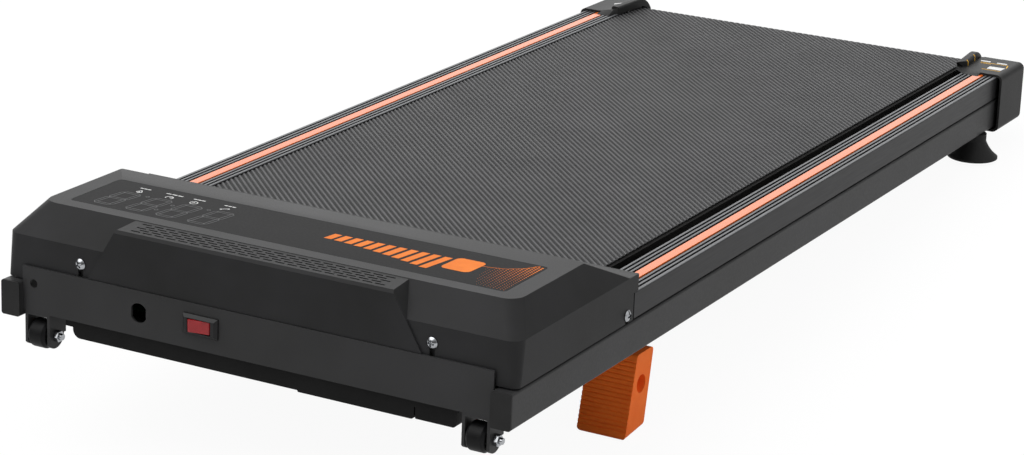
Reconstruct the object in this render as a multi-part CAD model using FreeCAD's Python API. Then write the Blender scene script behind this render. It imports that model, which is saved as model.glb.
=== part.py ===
import FreeCAD, Part
import math
import os

# Walking pad: flat folding-desk treadmill with a motor hood at the front end and two fold-down incline feet.
# Modelled level in the deck's own frame, in millimetres: X across (right is +X, seen from the front),
# Y from the front end to the rear end, Z up from the underside of the frame tubes.
# The finished pad is tipped onto its incline feet when the pieces are written out.

V = FreeCAD.Vector
X_AXIS = V(1, 0, 0)
Y_AXIS = V(0, 1, 0)
Z_AXIS = V(0, 0, 1)

# Overall
pad_width = 520.0
pad_length = 1206.0
running_gap = 0.3
shaft_clearance = 0.05

# Frame tubes
tube_width = 20.0
tube_height = 32.5
tube_wall = 1.5
tube_corner = 2.5
plug_flange = 2.0
plug_depth = 12.0
plug_clearance = 0.2

# Aluminium side rails with an inlaid colour strip
rail_width = 41.0
rail_height = 26.5
rail_wall = 2.0
rail_top_wall = 4.5
rail_seam = 2.2
rail_seam_depth = 6.0
rail_front_gap = 1.0
rail_rear_inset = 56.0
groove_width = 2.5
groove_depth = 2.2
groove_pitch = 4.9
rail_edge_round = 1.2
strip_width = 9.5
strip_thick = 2.0
strip_outer_offset = 16.0

# Running belt, deck and rollers
belt_left_gap = 1.0
belt_right_gap = 16.0
belt_thick = 1.6
belt_below_rail = 0.9
roller_radius = 19.0
roller_wall = 3.0
roller_overhang = 0.5
shaft_radius = 6.0
bearing_width = 10.0
front_roller_setback = 63.5
rear_roller_inset = 22.0
deck_side_gap = 12.0
deck_thick = 15.0
deck_roller_gap = 11.0
deck_front_gap = 4.0
cross_width = 30.0
cross_height = 12.0
cross_wall = 1.5
cross_below_rail = 1.0
cross_inset = 150.0
cushion_radius = 11.0
cushion_spread = 150.0
bracket_plate = 14.0
bracket_span = 30.0
bracket_rise = 14.5

# Front plate
plate_front = 5.6
plate_thick = 2.5
plate_bottom = 5.6
plate_rise = 15.2
plate_flange = 32.0
pin_hole_inset = 12.0
pin_hole_rise = 26.9
pin_hole_radius = 4.0
cord_hole_offset = 114.6
cord_hole_rise = 21.7
cord_hole_width = 15.4
cord_hole_height = 18.0

# Motor hood
hood_wall = 2.5
hood_seat_gap = 1.6
hood_front = 9.0
hood_rear = 228.5
hood_side_step = 7.5
ledge_depth = 16.0
hood_corner = 13.0
hood_foot_corner = 7.0
shoulder_height = 40.7
hood_height = 65.9
top_front = 37.0
slope_run = 54.5
top_inset = 18.5
top_corner = 15.0
belt_mouth = 2.9
mouth_side_gap = 1.0
bulge_front = 7.0
bulge_top_inset = 121.0
bulge_foot_inset = 90.0
bulge_bevel = 2.6
bulge_dip = 2.2
wall_behind_plate = 8.0
vent_rows = 5
vent_columns = 21
vent_margin = 10.25
vent_land = 2.9
vent_slot = 1.9
vent_pitch_y = 4.4
vent_setback = 7.5
panel_side_margin = 19.0
panel_front_margin = 15.0
panel_rear_margin = 28.5
panel_thick = 1.2
panel_corner = 4.0
panel_clearance = 0.2
screw_inset = 81.0
screw_rise = 11.3
side_screw_inset = 13.0
side_screw_rise = 9.0
screw_head_radius = 5.3
screw_head_height = 3.4
screw_radius = 2.4
screw_slot = 5.2
lug_thick = 2.5
lug_width = 22.0
lug_gap = 1.0

# Drive
motor_y = 72.0
motor_radius = 34.0
motor_can_wall = 3.0
motor_can_length = 95.0
motor_pulley_gap = 32.0
motor_bell = 10.0
motor_shaft_radius = 5.0
armature_radius = 22.0
armature_margin = 12.0
flywheel_radius = 29.0
flywheel_thick = 16.0
flywheel_gap = 4.0
motor_plate_thick = 3.0
saddle_rise = 14.0
saddle_thick = 6.0
motor_beam_width = 24.0
motor_beam_height = 8.0
motor_beam_y = 106.0
pulley_gap = 3.0
pulley_width = 12.0
roller_pulley_radius = 32.0
motor_pulley_radius = 12.0
pulley_ribs = 3
pulley_rib_depth = 1.2
drive_belt_thick = 2.5

# Electronics
board_thick = 1.6
sink_inset = 10.0
sink_motor_gap = 70.0
sink_front = 45.0
sink_depth = 53.0
sink_base = 5.0
sink_height = 22.0
sink_fins = 9
sink_fin = 3.0
capacitor_radius = 11.0
capacitor_height = 30.0
choke_radius = 8.0
choke_height = 22.0
relay_width = 25.0
relay_height = 18.0
relay_margin = 8.0
display_inset = 17.5
display_width = 150.0
display_margin = 10.5
display_drop = 9.5
digit_count = 4
digit_pitch = 33.0
digit_width = 26.0
digit_depth = 34.0
digit_height = 6.0

# Belly pan
pan_left_inset = 50.0
pan_right_inset = 38.0
pan_seam_inset = 78.5
pan_step_inset = 194.0
pan_front = 12.0
pan_rear_gap = 14.5
pan_drop = 12.2
pan_deep_drop = 13.7
pan_end_drop = 12.8
pan_seam = 1.2
pan_seam_depth = 1.5
pan_end_corner = 3.0
pan_wall = 2.5
pan_corner = 8.0
pan_tab = 8.0

# Rocker switch
switch_offset = 49.0
switch_rise = 23.1
bezel_width = 36.0
bezel_height = 18.6
bezel_proud = 4.0
bezel_bevel = 3.0
switch_body_depth = 24.0
rocker_width = 23.0
rocker_height = 11.4
rocker_gap = 0.6
rocker_depth = 9.0
rocker_rest_deg = 9.0
rocker_proud = 0.8
rocker_end_bevel = 1.8
rocker_dip = 0.5
rocker_pin_radius = 1.5

# Transport wheels
wheel_inset = 15.5
wheel_setback = 9.0
wheel_drop = 15.8
wheel_radius = 13.2
wheel_width = 18.0
wheel_edge = 2.5
wheel_side_gap = 1.5
wheel_bracket_sheet = 3.0
wheel_bracket_front = 6.0
wheel_bracket_depth = 24.0
wheel_bracket_end = 12.0
bolt_radius = 3.0
bolt_head = 2.6
bolt_head_radius = 4.8
nut_flats = 9.5
nut_thick = 5.0
bolt_tail = 3.0

# Incline feet
foot_bar_y = 276.0
foot_bar_width = 30.0
foot_bar_height = 10.0
foot_bar_bottom = 2.0
foot_outer_gap = 3.5
foot_width = 49.5
pivot_setback = 24.5
pivot_drop = 10.0
foot_pin_radius = 4.0
foot_top_drop = 13.0
foot_reach = 91.4
foot_top_front = 17.3
foot_top_depth = 33.0
foot_sole_front = 36.0
foot_sole_depth = 38.0
foot_round = 4.0
foot_sole_round = 6.0
foot_lug_width = 25.0
foot_lug_radius = 8.5
foot_fold_deg = 105.0
foot_ear = 3.0
foot_ear_radius = 9.0
foot_ear_gap = 0.4
foot_bracket_sheet = 3.0
foot_pin_end = 4.0
foot_rib_count = 16
foot_rib_depth = 0.9
foot_hole_radius = 8.7
foot_hole_depth = 12.0
foot_hole_drop = 43.0
foot_hole_forward = 7.2

# Rear rubber feet
rear_foot_inset = 109.0
rear_foot_height = 29.0
rear_foot_radius = 28.0
rear_neck_radius = 14.0
rear_neck_height = 8.0
rear_rim_height = 2.0
rear_flare_sag = 1.6
rear_disc_radius = 18.0
rear_bevel_radius = 27.0
rear_rim_rise = 0.6

# Rear end caps
cap_wall = 2.5
cap_side_gap = 4.0
cap_length = 78.0
cap_inner_gap = 0.5
cap_round = 7.0
cap_visor = 7.0
visor_reach = 9.8
visor_knee = 15.0
cap_floor_gap = 2.0
guard_left_gap = 0.7
guard_right_gap = 5.0
guard_left_toe = 7.0
guard_right_toe = 3.0
guard_width = 10.5
guard_rise = 7.6
guard_fall = 1.6
guard_clearance = 2.0
guard_curl = 28.0
guard_lead = 1.5
guard_tail_deg = 14.0
guard_round = 3.0
guard_beak = 11.0
cap_crown = 4.3
bolt_access_radius = 7.5
tension_inset = 9.0
tension_bolt_radius = 4.0
tension_head_radius = 6.5
tension_head_height = 5.0
shaft_block_front = 18.0
shaft_block_wall = 6.0

# Heights and places that follow from the sizes above
half = pad_width / 2
tube_inner_x = half - tube_width
tube_rear = pad_length - cap_wall - 7.0
rail_inner_x = half - rail_width
hood_side_end = hood_rear - hood_side_step
rail_front = hood_side_end + rail_front_gap
rail_rear = pad_length - rail_rear_inset
rail_top = tube_height + rail_height
belt_top = rail_top - belt_below_rail
belt_inner_radius = roller_radius + running_gap
belt_outer_radius = belt_inner_radius + belt_thick
roller_z = belt_top - belt_outer_radius
rear_roller_y = pad_length - rear_roller_inset
deck_top = belt_top - belt_thick - running_gap
deck_bottom = deck_top - deck_thick
cross_top = tube_height - cross_below_rail
plate_top = tube_height + plate_rise
plate_back = plate_front + plate_thick
flange_top = plate_bottom + plate_thick
hood_bottom = tube_height + hood_seat_gap
shoulder_z = hood_bottom + shoulder_height
hood_top = hood_bottom + hood_height
bulge_bottom = plate_top + running_gap
belt_right = rail_inner_x - belt_right_gap
belt_left = belt_left_gap - rail_inner_x
roller_right = belt_right + roller_overhang
roller_left = belt_left - roller_overhang
pulley_left = roller_right + pulley_gap
pulley_right = pulley_left + pulley_width
motor_z = flange_top + motor_plate_thick + motor_radius + 1.0
motor_can_right = pulley_left - motor_pulley_gap - motor_bell
motor_can_left = motor_can_right - motor_can_length
front_roller_y = hood_rear - front_roller_setback
deck_half_width = rail_inner_x - deck_side_gap
drive_reach = max(roller_radius, roller_pulley_radius + running_gap + drive_belt_thick)
deck_front = front_roller_y + drive_reach + deck_front_gap
deck_rear = rear_roller_y - roller_radius - deck_roller_gap
cross_places = (deck_front + cross_inset, (deck_front + deck_rear) / 2, deck_rear - cross_inset)
cushion_columns = (-cushion_spread, 0.0, cushion_spread)
pin_hole_x = pin_hole_inset - tube_inner_x
pin_hole_z = plate_bottom + pin_hole_rise
cord_hole_x = -cord_hole_offset
cord_hole_z = plate_bottom + cord_hole_rise
slope_rear = hood_rear - ledge_depth
top_rear = slope_rear - slope_run
top_half_width = half - top_inset
mouth_half_width = rail_inner_x - mouth_side_gap
bulge_top_half = half - bulge_top_inset
bulge_foot_half = half - bulge_foot_inset
vent_pitch_x = (2 * (bulge_top_half - vent_margin) + vent_land) / vent_columns
vent_length = vent_pitch_x - vent_land
vent_first_row = bulge_front + vent_setback
panel_half_width = top_half_width - panel_side_margin
panel_front = top_front + panel_front_margin
panel_rear = top_rear - panel_rear_margin
screw_x = half - screw_inset
screw_z = plate_top + screw_rise
side_screw_y = hood_side_end - side_screw_inset
side_screw_z = tube_height + side_screw_rise
sink_rear = sink_front + sink_depth
display_left = display_inset - panel_half_width
display_right = display_left + display_width
display_front = panel_front + display_margin
display_rear = panel_rear - display_margin
pan_left = pan_left_inset - tube_inner_x
pan_right = tube_inner_x - pan_right_inset
pan_seam_reach = tube_inner_x - pan_seam_inset
pan_step_reach = tube_inner_x - pan_step_inset
sink_left = pan_left + sink_inset
sink_right = motor_can_left - motor_bell - flywheel_gap - flywheel_thick - sink_motor_gap
sink_width = sink_right - sink_left
board_pitch = sink_width / 5
pan_rear = hood_rear - pan_rear_gap
pan_bottom = -pan_drop
switch_x = -switch_offset
switch_z = plate_bottom + switch_rise
wheel_x = tube_inner_x - wheel_inset
wheel_y = wheel_bracket_front + wheel_setback
wheel_z = -wheel_drop
wheel_bracket_width = wheel_width + 2 * (wheel_bracket_sheet + wheel_side_gap)
pivot_y = foot_bar_y + pivot_setback
pivot_z = -pivot_drop
rear_foot_y = pad_length - rear_foot_inset
cap_inner_x = rail_inner_x + cap_inner_gap
tension_x = tube_inner_x - tension_inset
cap_front = pad_length - cap_length
cap_outer_x = half + cap_side_gap + cap_wall
cap_top = rail_top + cap_wall
foot_outer_x = tube_inner_x - foot_outer_gap
foot_inner_x = foot_outer_x - foot_width
foot_middle_x = (foot_outer_x + foot_inner_x) / 2
sole_z = pivot_z - foot_reach

pieces = {}


def box(x0, x1, y0, y1, z0, z1):
    return Part.makeBox(x1 - x0, y1 - y0, z1 - z0, V(x0, y0, z0))


def rod_x(x0, x1, y, z, radius):
    return Part.makeCylinder(radius, x1 - x0, V(x0, y, z), X_AXIS)


def rod_y(y0, y1, x, z, radius):
    return Part.makeCylinder(radius, y1 - y0, V(x, y0, z), Y_AXIS)


def rod_z(z0, z1, x, y, radius):
    return Part.makeCylinder(radius, z1 - z0, V(x, y, z0), Z_AXIS)


def ring_x(x0, x1, y, z, outer, inner):
    return rod_x(x0, x1, y, z, outer).cut(rod_x(x0, x1, y, z, inner))


def flat_face(points):
    return Part.Face(Part.makePolygon(points + [points[0]]))


def prism_x(profile, x0, x1):
    return flat_face([V(x0, y, z) for y, z in profile]).extrude(V(x1 - x0, 0, 0))


def prism_y(profile, y0, y1):
    return flat_face([V(x, y0, z) for x, z in profile]).extrude(V(0, y1 - y0, 0))


def prism_z(profile, z0, z1):
    return flat_face([V(x, y, z0) for x, y in profile]).extrude(V(0, 0, z1 - z0))


def mirrored(shape):
    return shape.mirror(V(0, 0, 0), X_AXIS)


def fused(shapes):
    return shapes[0].multiFuse(shapes[1:]).removeSplitter()


def both_sides(name, shape):
    pieces["right_" + name] = shape
    pieces["left_" + name] = mirrored(shape)


def rounded_outline(x0, x1, y0, y1, z, front_radius, rear_radius):
    # Closed outline with rounded front and rear corners, running anticlockwise from the front edge.
    corners = (
        (x1, y0, -90.0, front_radius),
        (x1, y1, 0.0, rear_radius),
        (x0, y1, 90.0, rear_radius),
        (x0, y0, 180.0, front_radius),
    )
    edges = []
    ends = []
    for x, y, start, radius in corners:
        centre_x = x - math.copysign(radius, x - (x0 + x1) / 2)
        centre_y = y - math.copysign(radius, y - (y0 + y1) / 2)
        centre = V(centre_x, centre_y, z)
        on_arc = []
        for turn in (0.0, 45.0, 90.0):
            angle = math.radians(start + turn)
            on_arc.append(centre + V(radius * math.cos(angle), radius * math.sin(angle), 0))
        ends.append(on_arc)
    for index, on_arc in enumerate(ends):
        edges.append(Part.Arc(*on_arc).toShape())
        following = ends[(index + 1) % len(ends)]
        edges.append(Part.makeLine(on_arc[2], following[0]))
    return Part.Wire(edges)


def rounded_slab(x0, x1, y0, y1, z0, z1, front_radius, rear_radius):
    outline = rounded_outline(x0, x1, y0, y1, z0, front_radius, rear_radius)
    return Part.Face(outline).extrude(V(0, 0, z1 - z0))


def loop_x(x0, x1, first, second):
    # Solid racetrack round two circles (y, z, radius) given as a belt's outline.
    (ya, za, ra), (yb, zb, rb) = first, second
    span = math.hypot(yb - ya, zb - za)
    heading = math.atan2(zb - za, yb - ya)
    lean = math.acos((ra - rb) / span)
    points = []
    for y, z, radius, angles in (
        (ya, za, ra, (heading + lean, heading + math.pi, heading + 2 * math.pi - lean)),
        (yb, zb, rb, (heading - lean, heading, heading + lean)),
    ):
        points.append([V(x0, y + radius * math.cos(a), z + radius * math.sin(a)) for a in angles])
    edges = []
    for index in (0, 1):
        edges.append(Part.Arc(*points[index]).toShape())
        edges.append(Part.makeLine(points[index][2], points[1 - index][0]))
    return Part.Face(Part.Wire(edges)).extrude(V(x1 - x0, 0, 0))


def frame_tube():
    outer = box(tube_inner_x, half, plug_flange, tube_rear, 0, tube_height)
    long_edges = [e for e in outer.Edges if abs(e.Length - (tube_rear - plug_flange)) < 1e-6]
    outer = outer.makeFillet(tube_corner, long_edges)
    bore = box(tube_inner_x + tube_wall, half - tube_wall, 0, pad_length, tube_wall, tube_height - tube_wall)
    tab_outer = half - hood_wall - lug_gap
    tab = box(
        tab_outer - lug_thick, tab_outer,
        side_screw_y - lug_width / 2, side_screw_y + lug_width / 2,
        tube_height - tube_wall, side_screw_z + lug_width / 2,
    )
    hole = rod_x(tube_inner_x, half, side_screw_y, side_screw_z, screw_radius + shaft_clearance)
    return fused([outer.cut(bore), tab]).cut(hole)


def tube_plug():
    flange = box(tube_inner_x, half, 0, plug_flange, 0, tube_height)
    upright = [e for e in flange.Edges if abs(e.Length - plug_flange) < 1e-6]
    flange = flange.makeFillet(tube_corner, upright)
    inset = tube_wall + plug_clearance
    spigot = box(
        tube_inner_x + inset, half - inset, plug_flange, plug_flange + plug_depth, inset, tube_height - inset
    )
    return fused([flange, spigot])


def strip_edges():
    outer = half - strip_outer_offset
    return outer - strip_width, outer


def side_rail():
    inner_edge, outer_edge = strip_edges()
    body = box(rail_inner_x, half, rail_front, rail_rear, tube_height, rail_top)
    top_edges = [
        e for e in body.Edges
        if abs(e.CenterOfMass.z - rail_top) < 1e-6 and abs(e.Length - (rail_rear - rail_front)) < 1e-6
    ]
    body = body.makeFillet(rail_edge_round, top_edges)
    cuts = [
        box(
            rail_inner_x + rail_wall, half - rail_wall, rail_front, rail_rear,
            tube_height + rail_seam + rail_wall, rail_top - rail_top_wall,
        ),
        box(inner_edge, outer_edge, rail_front, rail_rear, rail_top - strip_thick, rail_top),
        box(half - rail_seam_depth, half, rail_front, rail_rear, tube_height, tube_height + rail_seam),
    ]
    inner_grooves = [inner_edge - groove_width / 2 - step * groove_pitch for step in range(3)]
    outer_grooves = [outer_edge + groove_width / 2 + step * groove_pitch for step in range(3)]
    for centre in inner_grooves + outer_grooves:
        cuts.append(
            box(
                centre - groove_width / 2, centre + groove_width / 2, rail_front, rail_rear,
                rail_top - groove_depth, rail_top,
            )
        )
    return body.cut(cuts[0].multiFuse(cuts[1:]))


def rail_strip():
    inner_edge, outer_edge = strip_edges()
    return box(inner_edge, outer_edge, rail_front, rail_rear, rail_top - strip_thick, rail_top)


def hollow_beam(y0, width, z0, height):
    outer = box(-tube_inner_x, tube_inner_x, y0, y0 + width, z0, z0 + height)
    bore = box(
        -tube_inner_x, tube_inner_x, y0 + cross_wall, y0 + width - cross_wall,
        z0 + cross_wall, z0 + height - cross_wall,
    )
    return outer.cut(bore)


def front_plate():
    web = box(-tube_inner_x, tube_inner_x, plate_front, plate_back, plate_bottom, plate_top)
    flange = box(-tube_inner_x, tube_inner_x, plate_back, plate_back + plate_flange, plate_bottom, flange_top)
    lug_front = hood_front + hood_wall + lug_gap
    lug_top = screw_z + lug_width / 3
    shelf_top = plate_top - wall_behind_plate - lug_gap
    lugs = []
    holes = []
    for x in (-screw_x, screw_x):
        upright = box(
            x - lug_width / 2, x + lug_width / 2, lug_front, lug_front + lug_thick,
            shelf_top - lug_thick, lug_top,
        )
        shelf = box(
            x - lug_width / 2, x + lug_width / 2, plate_back, lug_front, shelf_top - lug_thick, shelf_top
        )
        lugs += [upright, shelf]
        holes.append(rod_y(plate_back, lug_front + lug_thick, x, screw_z, screw_radius + shaft_clearance))
    cord_round = rod_y(plate_front, plate_back, cord_hole_x, cord_hole_z, cord_hole_height / 2)
    cord_flats = box(
        cord_hole_x - cord_hole_width / 2, cord_hole_x + cord_hole_width / 2, plate_front, plate_back,
        cord_hole_z - cord_hole_height, cord_hole_z + cord_hole_height,
    )
    holes.append(cord_round.common(cord_flats))
    holes.append(rod_y(plate_front, plate_back, pin_hole_x, pin_hole_z, pin_hole_radius))
    body_half = bezel_width / 2 - bezel_bevel
    holes.append(
        box(
            switch_x - body_half, switch_x + body_half, plate_front, plate_back,
            switch_z - bezel_height / 2 + bezel_bevel / 2, switch_z + bezel_height / 2 - bezel_bevel / 2,
        )
    )
    return fused([web, flange] + lugs).cut(holes[0].multiFuse(holes[1:]))


def hood_shell(inset):
    # Outer form of the hood, or its inside when inset by the wall.
    x = half - inset
    front = hood_front + inset
    corner = hood_corner - inset
    ceiling = shoulder_z - inset
    foot_outline = rounded_outline(
        -x, x, front, hood_side_end, hood_bottom, hood_foot_corner - inset, inset + 1.0
    )
    wall_outline = rounded_outline(-x, x, front, hood_side_end, ceiling, corner, inset + 1.0)
    lower = Part.makeLoft([foot_outline, wall_outline], True, True)
    low_outline = rounded_outline(-x, x, front, slope_rear - inset / 2, ceiling, corner, 2.0)
    high_outline = rounded_outline(
        -top_half_width + inset / 2, top_half_width - inset / 2, top_front + inset / 2, top_rear - inset / 2,
        hood_top - inset, top_corner - inset, 2.0,
    )
    upper = Part.makeLoft([low_outline, high_outline], True, True)
    return fused([lower, upper])


def bulge_form(inset):
    # Raised middle of the hood front that carries the vent: widest at its foot, bevelled along its front.
    side_slope = (bulge_foot_half - bulge_top_half) / (hood_top - bulge_bottom)
    top = hood_top - inset
    bottom = bulge_bottom + inset
    foot_half = bulge_foot_half - inset * (1 + side_slope)
    top_half = bulge_top_half - inset
    front = bulge_front + inset
    rear = top_front + hood_wall + 4.0
    section = [(-foot_half, bottom), (foot_half, bottom), (top_half, top), (-top_half, top)]
    outline = prism_y(section, front, rear)
    bevel_top = top - bulge_dip
    section = prism_x(
        [
            (front, bottom), (rear, bottom), (rear, top),
            (front + bulge_bevel, bevel_top), (front, bevel_top - bulge_bevel),
        ],
        -foot_half, foot_half,
    )
    return outline.common(section)


def vent_slots():
    slots = []
    span = (vent_columns - 1) * vent_pitch_x
    for row in range(vent_rows):
        y = vent_first_row + row * vent_pitch_y
        shift = vent_pitch_x / 2 if row % 2 else 0.0
        for column in range(vent_columns - row % 2):
            x = -span / 2 + shift + column * vent_pitch_x
            slots.append(
                box(
                    x - vent_length / 2, x + vent_length / 2, y - vent_slot / 2, y + vent_slot / 2,
                    hood_top - 3 * hood_wall, hood_top + 1,
                )
            )
    return Part.makeCompound(slots)


def motor_hood():
    shelf = box(-half, half, slope_rear - 8.0, hood_rear, rail_top + running_gap, shoulder_z)
    outer = fused([hood_shell(0.0), shelf, bulge_form(0.0)])
    inside = half - hood_wall
    lip = hood_rear - hood_wall
    cavity = [
        hood_shell(hood_wall),
        bulge_form(hood_wall),
        box(-inside, inside, slope_rear - 20.0, lip, 0, shoulder_z - hood_wall),
        rounded_slab(
            -inside, inside, hood_front + hood_wall, slope_rear, 0, hood_bottom,
            hood_foot_corner - hood_wall, 1.0,
        ),
        box(-mouth_half_width, mouth_half_width, lip, hood_rear, 0, belt_top + belt_mouth),
        box(
            -tube_inner_x, tube_inner_x, 0, hood_front + hood_wall, 0, plate_top - wall_behind_plate
        ),
    ]
    recess = rounded_slab(
        -panel_half_width, panel_half_width, panel_front, panel_rear, hood_top - panel_thick, hood_top,
        panel_corner, panel_corner,
    )
    slots = []
    for x in (-screw_x, screw_x):
        slots.append(
            box(
                x - screw_slot / 2, x + screw_slot / 2, 0, hood_front + hood_wall, 0, screw_z + screw_slot / 2
            )
        )
    for x0, x1 in ((-half, -inside), (inside, half)):
        slots.append(
            box(
                x0, x1, side_screw_y - screw_slot / 2, side_screw_y + screw_slot / 2,
                0, side_screw_z + screw_slot / 2,
            )
        )
    shell = outer.cut(cavity[0].multiFuse(cavity[1:]))
    return shell.cut([recess] + slots).cut(vent_slots())


def display_panel():
    gap = panel_clearance
    return rounded_slab(
        -panel_half_width + gap, panel_half_width - gap, panel_front + gap, panel_rear - gap,
        hood_top - panel_thick, hood_top, panel_corner - gap, panel_corner - gap,
    )


def display_board():
    ceiling = hood_top - hood_wall
    top = ceiling - display_drop + board_thick
    board = box(display_left, display_right, display_front, display_rear, top - board_thick, top)
    parts = [board]
    post = 3.0
    for x in (display_left + 2 * post, display_right - 2 * post):
        for y in (display_front + 2 * post, display_rear - 2 * post):
            parts.append(rod_z(top, ceiling, x, y, post))
    middle_x = (display_left + display_right) / 2
    middle_y = (display_front + display_rear) / 2
    for index in range(digit_count):
        x = middle_x + (index - (digit_count - 1) / 2) * digit_pitch
        parts.append(
            box(
                x - digit_width / 2, x + digit_width / 2,
                middle_y - digit_depth / 2, middle_y + digit_depth / 2,
                top, top + digit_height,
            )
        )
    return fused(parts)


def pan_head(seat, outward):
    # Low head of three turned bands, with a cross recess left to the surface finish.
    bands = ((1.0, 1.0, 0.35), (1.0, 0.86, 0.35), (0.86, 0.5, 0.3))
    rise = 0.0
    turned = []
    for low, high, share in bands:
        height = screw_head_height * share
        start = seat + outward * rise
        if low == high:
            turned.append(Part.makeCylinder(screw_head_radius, height, start, outward))
        else:
            turned.append(
                Part.makeCone(screw_head_radius * low, screw_head_radius * high, height, start, outward)
            )
        rise += height
    return fused(turned)


def screw_set():
    screws = []
    for x in (-screw_x, screw_x):
        head = pan_head(V(x, hood_front, screw_z), V(0, -1, 0))
        shank = rod_y(hood_front, hood_front + hood_wall + lug_gap + 2 * lug_thick, x, screw_z, screw_radius)
        screws.append(fused([head, shank]))
    head = pan_head(V(half, side_screw_y, side_screw_z), X_AXIS)
    shank_end = half - hood_wall - lug_gap - 2 * lug_thick
    side = fused([head, rod_x(shank_end, half, side_screw_y, side_screw_z, screw_radius)])
    return Part.makeCompound(screws + [side, mirrored(side)])


def pan_tray(x0, x1, drop, left_round, right_round, inset):
    # One length of the pan, rounded along its lower left and right edges; inset gives its inside.
    shape = box(x0 + inset, x1 - inset, pan_front + inset, pan_rear - inset, inset - drop, 0)
    for x, radius in ((x0 + inset, left_round - inset), (x1 - inset, right_round - inset)):
        if radius > 0:
            low = [
                e for e in shape.Edges
                if abs(e.CenterOfMass.z - inset + drop) < 1e-6 and abs(e.CenterOfMass.x - x) < 1e-6
            ]
            shape = shape.makeFillet(radius, low)
    return shape


def belly_pan():
    # Wide tray with a slightly deeper right part, then a seam and a short end tray.
    end_left = pan_seam_reach + pan_seam
    trays = (
        (pan_left, pan_seam_reach, pan_drop, pan_corner, 0.0),
        (pan_step_reach, pan_seam_reach, pan_deep_drop, pan_seam, pan_end_corner),
        (end_left, pan_right, pan_end_drop, pan_seam, pan_end_corner),
    )
    outer = [pan_tray(*tray, 0.0) for tray in trays]
    outer.append(
        box(
            pan_seam_reach - pan_wall, end_left + pan_wall,
            pan_front + pan_seam_depth, pan_rear - pan_seam_depth,
            pan_seam_depth - pan_drop, 0,
        )
    )
    outer.append(
        box(
            pan_left - pan_tab, pan_right, pan_front, pan_front + pan_wall, -pan_wall, plate_bottom
        )
    )
    inside = [pan_tray(*tray, pan_wall) for tray in trays]
    return fused(outer).cut(inside)


def pan_floor():
    return pan_bottom + pan_wall


def running_deck():
    return box(-deck_half_width, deck_half_width, deck_front, deck_rear, deck_bottom, deck_top)


def deck_cushions():
    return Part.makeCompound(
        [rod_z(cross_top, deck_bottom, x, y, cushion_radius) for y in cross_places for x in cushion_columns]
    )


def walking_belt():
    outer = loop_x(
        belt_left, belt_right,
        (front_roller_y, roller_z, belt_outer_radius), (rear_roller_y, roller_z, belt_outer_radius),
    )
    inner = loop_x(
        belt_left, belt_right,
        (front_roller_y, roller_z, belt_inner_radius), (rear_roller_y, roller_z, belt_inner_radius),
    )
    return outer.cut(inner)


def roller(y):
    return ring_x(roller_left, roller_right, y, roller_z, roller_radius, roller_radius - roller_wall)


def roller_bearings(y):
    rings = []
    for x in (roller_left, roller_right - bearing_width):
        rings.append(
            ring_x(
                x, x + bearing_width, y, roller_z, roller_radius - roller_wall, shaft_radius + shaft_clearance
            )
        )
    return Part.makeCompound(rings)


def roller_shaft(y):
    reach = tube_inner_x - 2.0
    return rod_x(-reach, reach, y, roller_z, shaft_radius)


def front_roller_brackets():
    plate = box(
        tube_inner_x - bracket_plate, tube_inner_x,
        front_roller_y - bracket_span / 2, front_roller_y + bracket_span / 2,
        roller_z - bracket_rise, roller_z + bracket_rise,
    )
    hole = rod_x(
        tube_inner_x - bracket_plate, tube_inner_x, front_roller_y, roller_z, shaft_radius + shaft_clearance
    )
    plate = plate.cut(hole)
    return Part.makeCompound([plate, mirrored(plate)])


def shaft_blocks():
    block_front = rear_roller_y - shaft_block_front
    block_rear = tube_rear + 4.0
    block = box(
        tube_inner_x - bracket_plate, tube_inner_x, block_front, block_rear,
        roller_z - bracket_rise, roller_z + bracket_rise,
    )
    fit = shaft_radius + shaft_clearance
    slot = box(
        tube_inner_x - bracket_plate, tube_inner_x,
        block_front + shaft_block_wall, block_rear - shaft_block_wall,
        roller_z - fit, roller_z + fit,
    )
    hole = rod_y(block_front, block_rear, tension_x, roller_z, tension_bolt_radius + plug_clearance)
    block = block.cut([slot, hole])
    return Part.makeCompound([block, mirrored(block)])


def tension_bolts():
    seat = tube_rear + 4.0
    shank = rod_y(rear_roller_y + shaft_radius, seat, tension_x, roller_z, tension_bolt_radius)
    head = rod_y(seat, seat + tension_head_height, tension_x, roller_z, tension_head_radius)
    socket_depth = tension_head_height * 0.6
    socket = hex_prism_y(seat + tension_head_height - socket_depth, socket_depth, tension_x, roller_z, 6.0)
    bolt = fused([shank, head]).cut(socket)
    return Part.makeCompound([bolt, mirrored(bolt)])


def hex_points(across_flats):
    radius = across_flats / math.sqrt(3)
    return [
        (radius * math.cos(math.radians(60 * k)), radius * math.sin(math.radians(60 * k))) for k in range(6)
    ]


def hex_prism_y(y0, length, x, z, across_flats):
    return prism_y([(x + a, z + b) for a, b in hex_points(across_flats)], y0, y0 + length)


def hex_prism_x(x0, length, y, z, across_flats):
    return prism_x([(y + a, z + b) for a, b in hex_points(across_flats)], x0, x0 + length)


def ribbed_pulley(y, z, radius, hub_left, hub_radius, bore):
    # Pulley with V grooves round its rim and a hub on its left.
    pitch = pulley_width / (pulley_ribs + 1)
    profile = [(pulley_left, bore), (pulley_left, radius), (pulley_left + pitch / 2, radius)]
    for rib in range(pulley_ribs):
        start = pulley_left + pitch / 2 + rib * pitch
        profile += [(start + pitch / 2, radius - pulley_rib_depth), (start + pitch, radius)]
    profile += [(pulley_right, radius), (pulley_right, bore)]
    wheel = flat_face([V(x, y, z + r) for x, r in profile]).revolve(V(0, y, z), X_AXIS, 360)
    if hub_left < pulley_left:
        wheel = fused([wheel, ring_x(hub_left, pulley_left, y, z, hub_radius, bore)])
    return wheel


def roller_pulley():
    return ribbed_pulley(
        front_roller_y, roller_z, roller_pulley_radius, roller_right, roller_radius, shaft_radius + 1.0
    )


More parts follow.
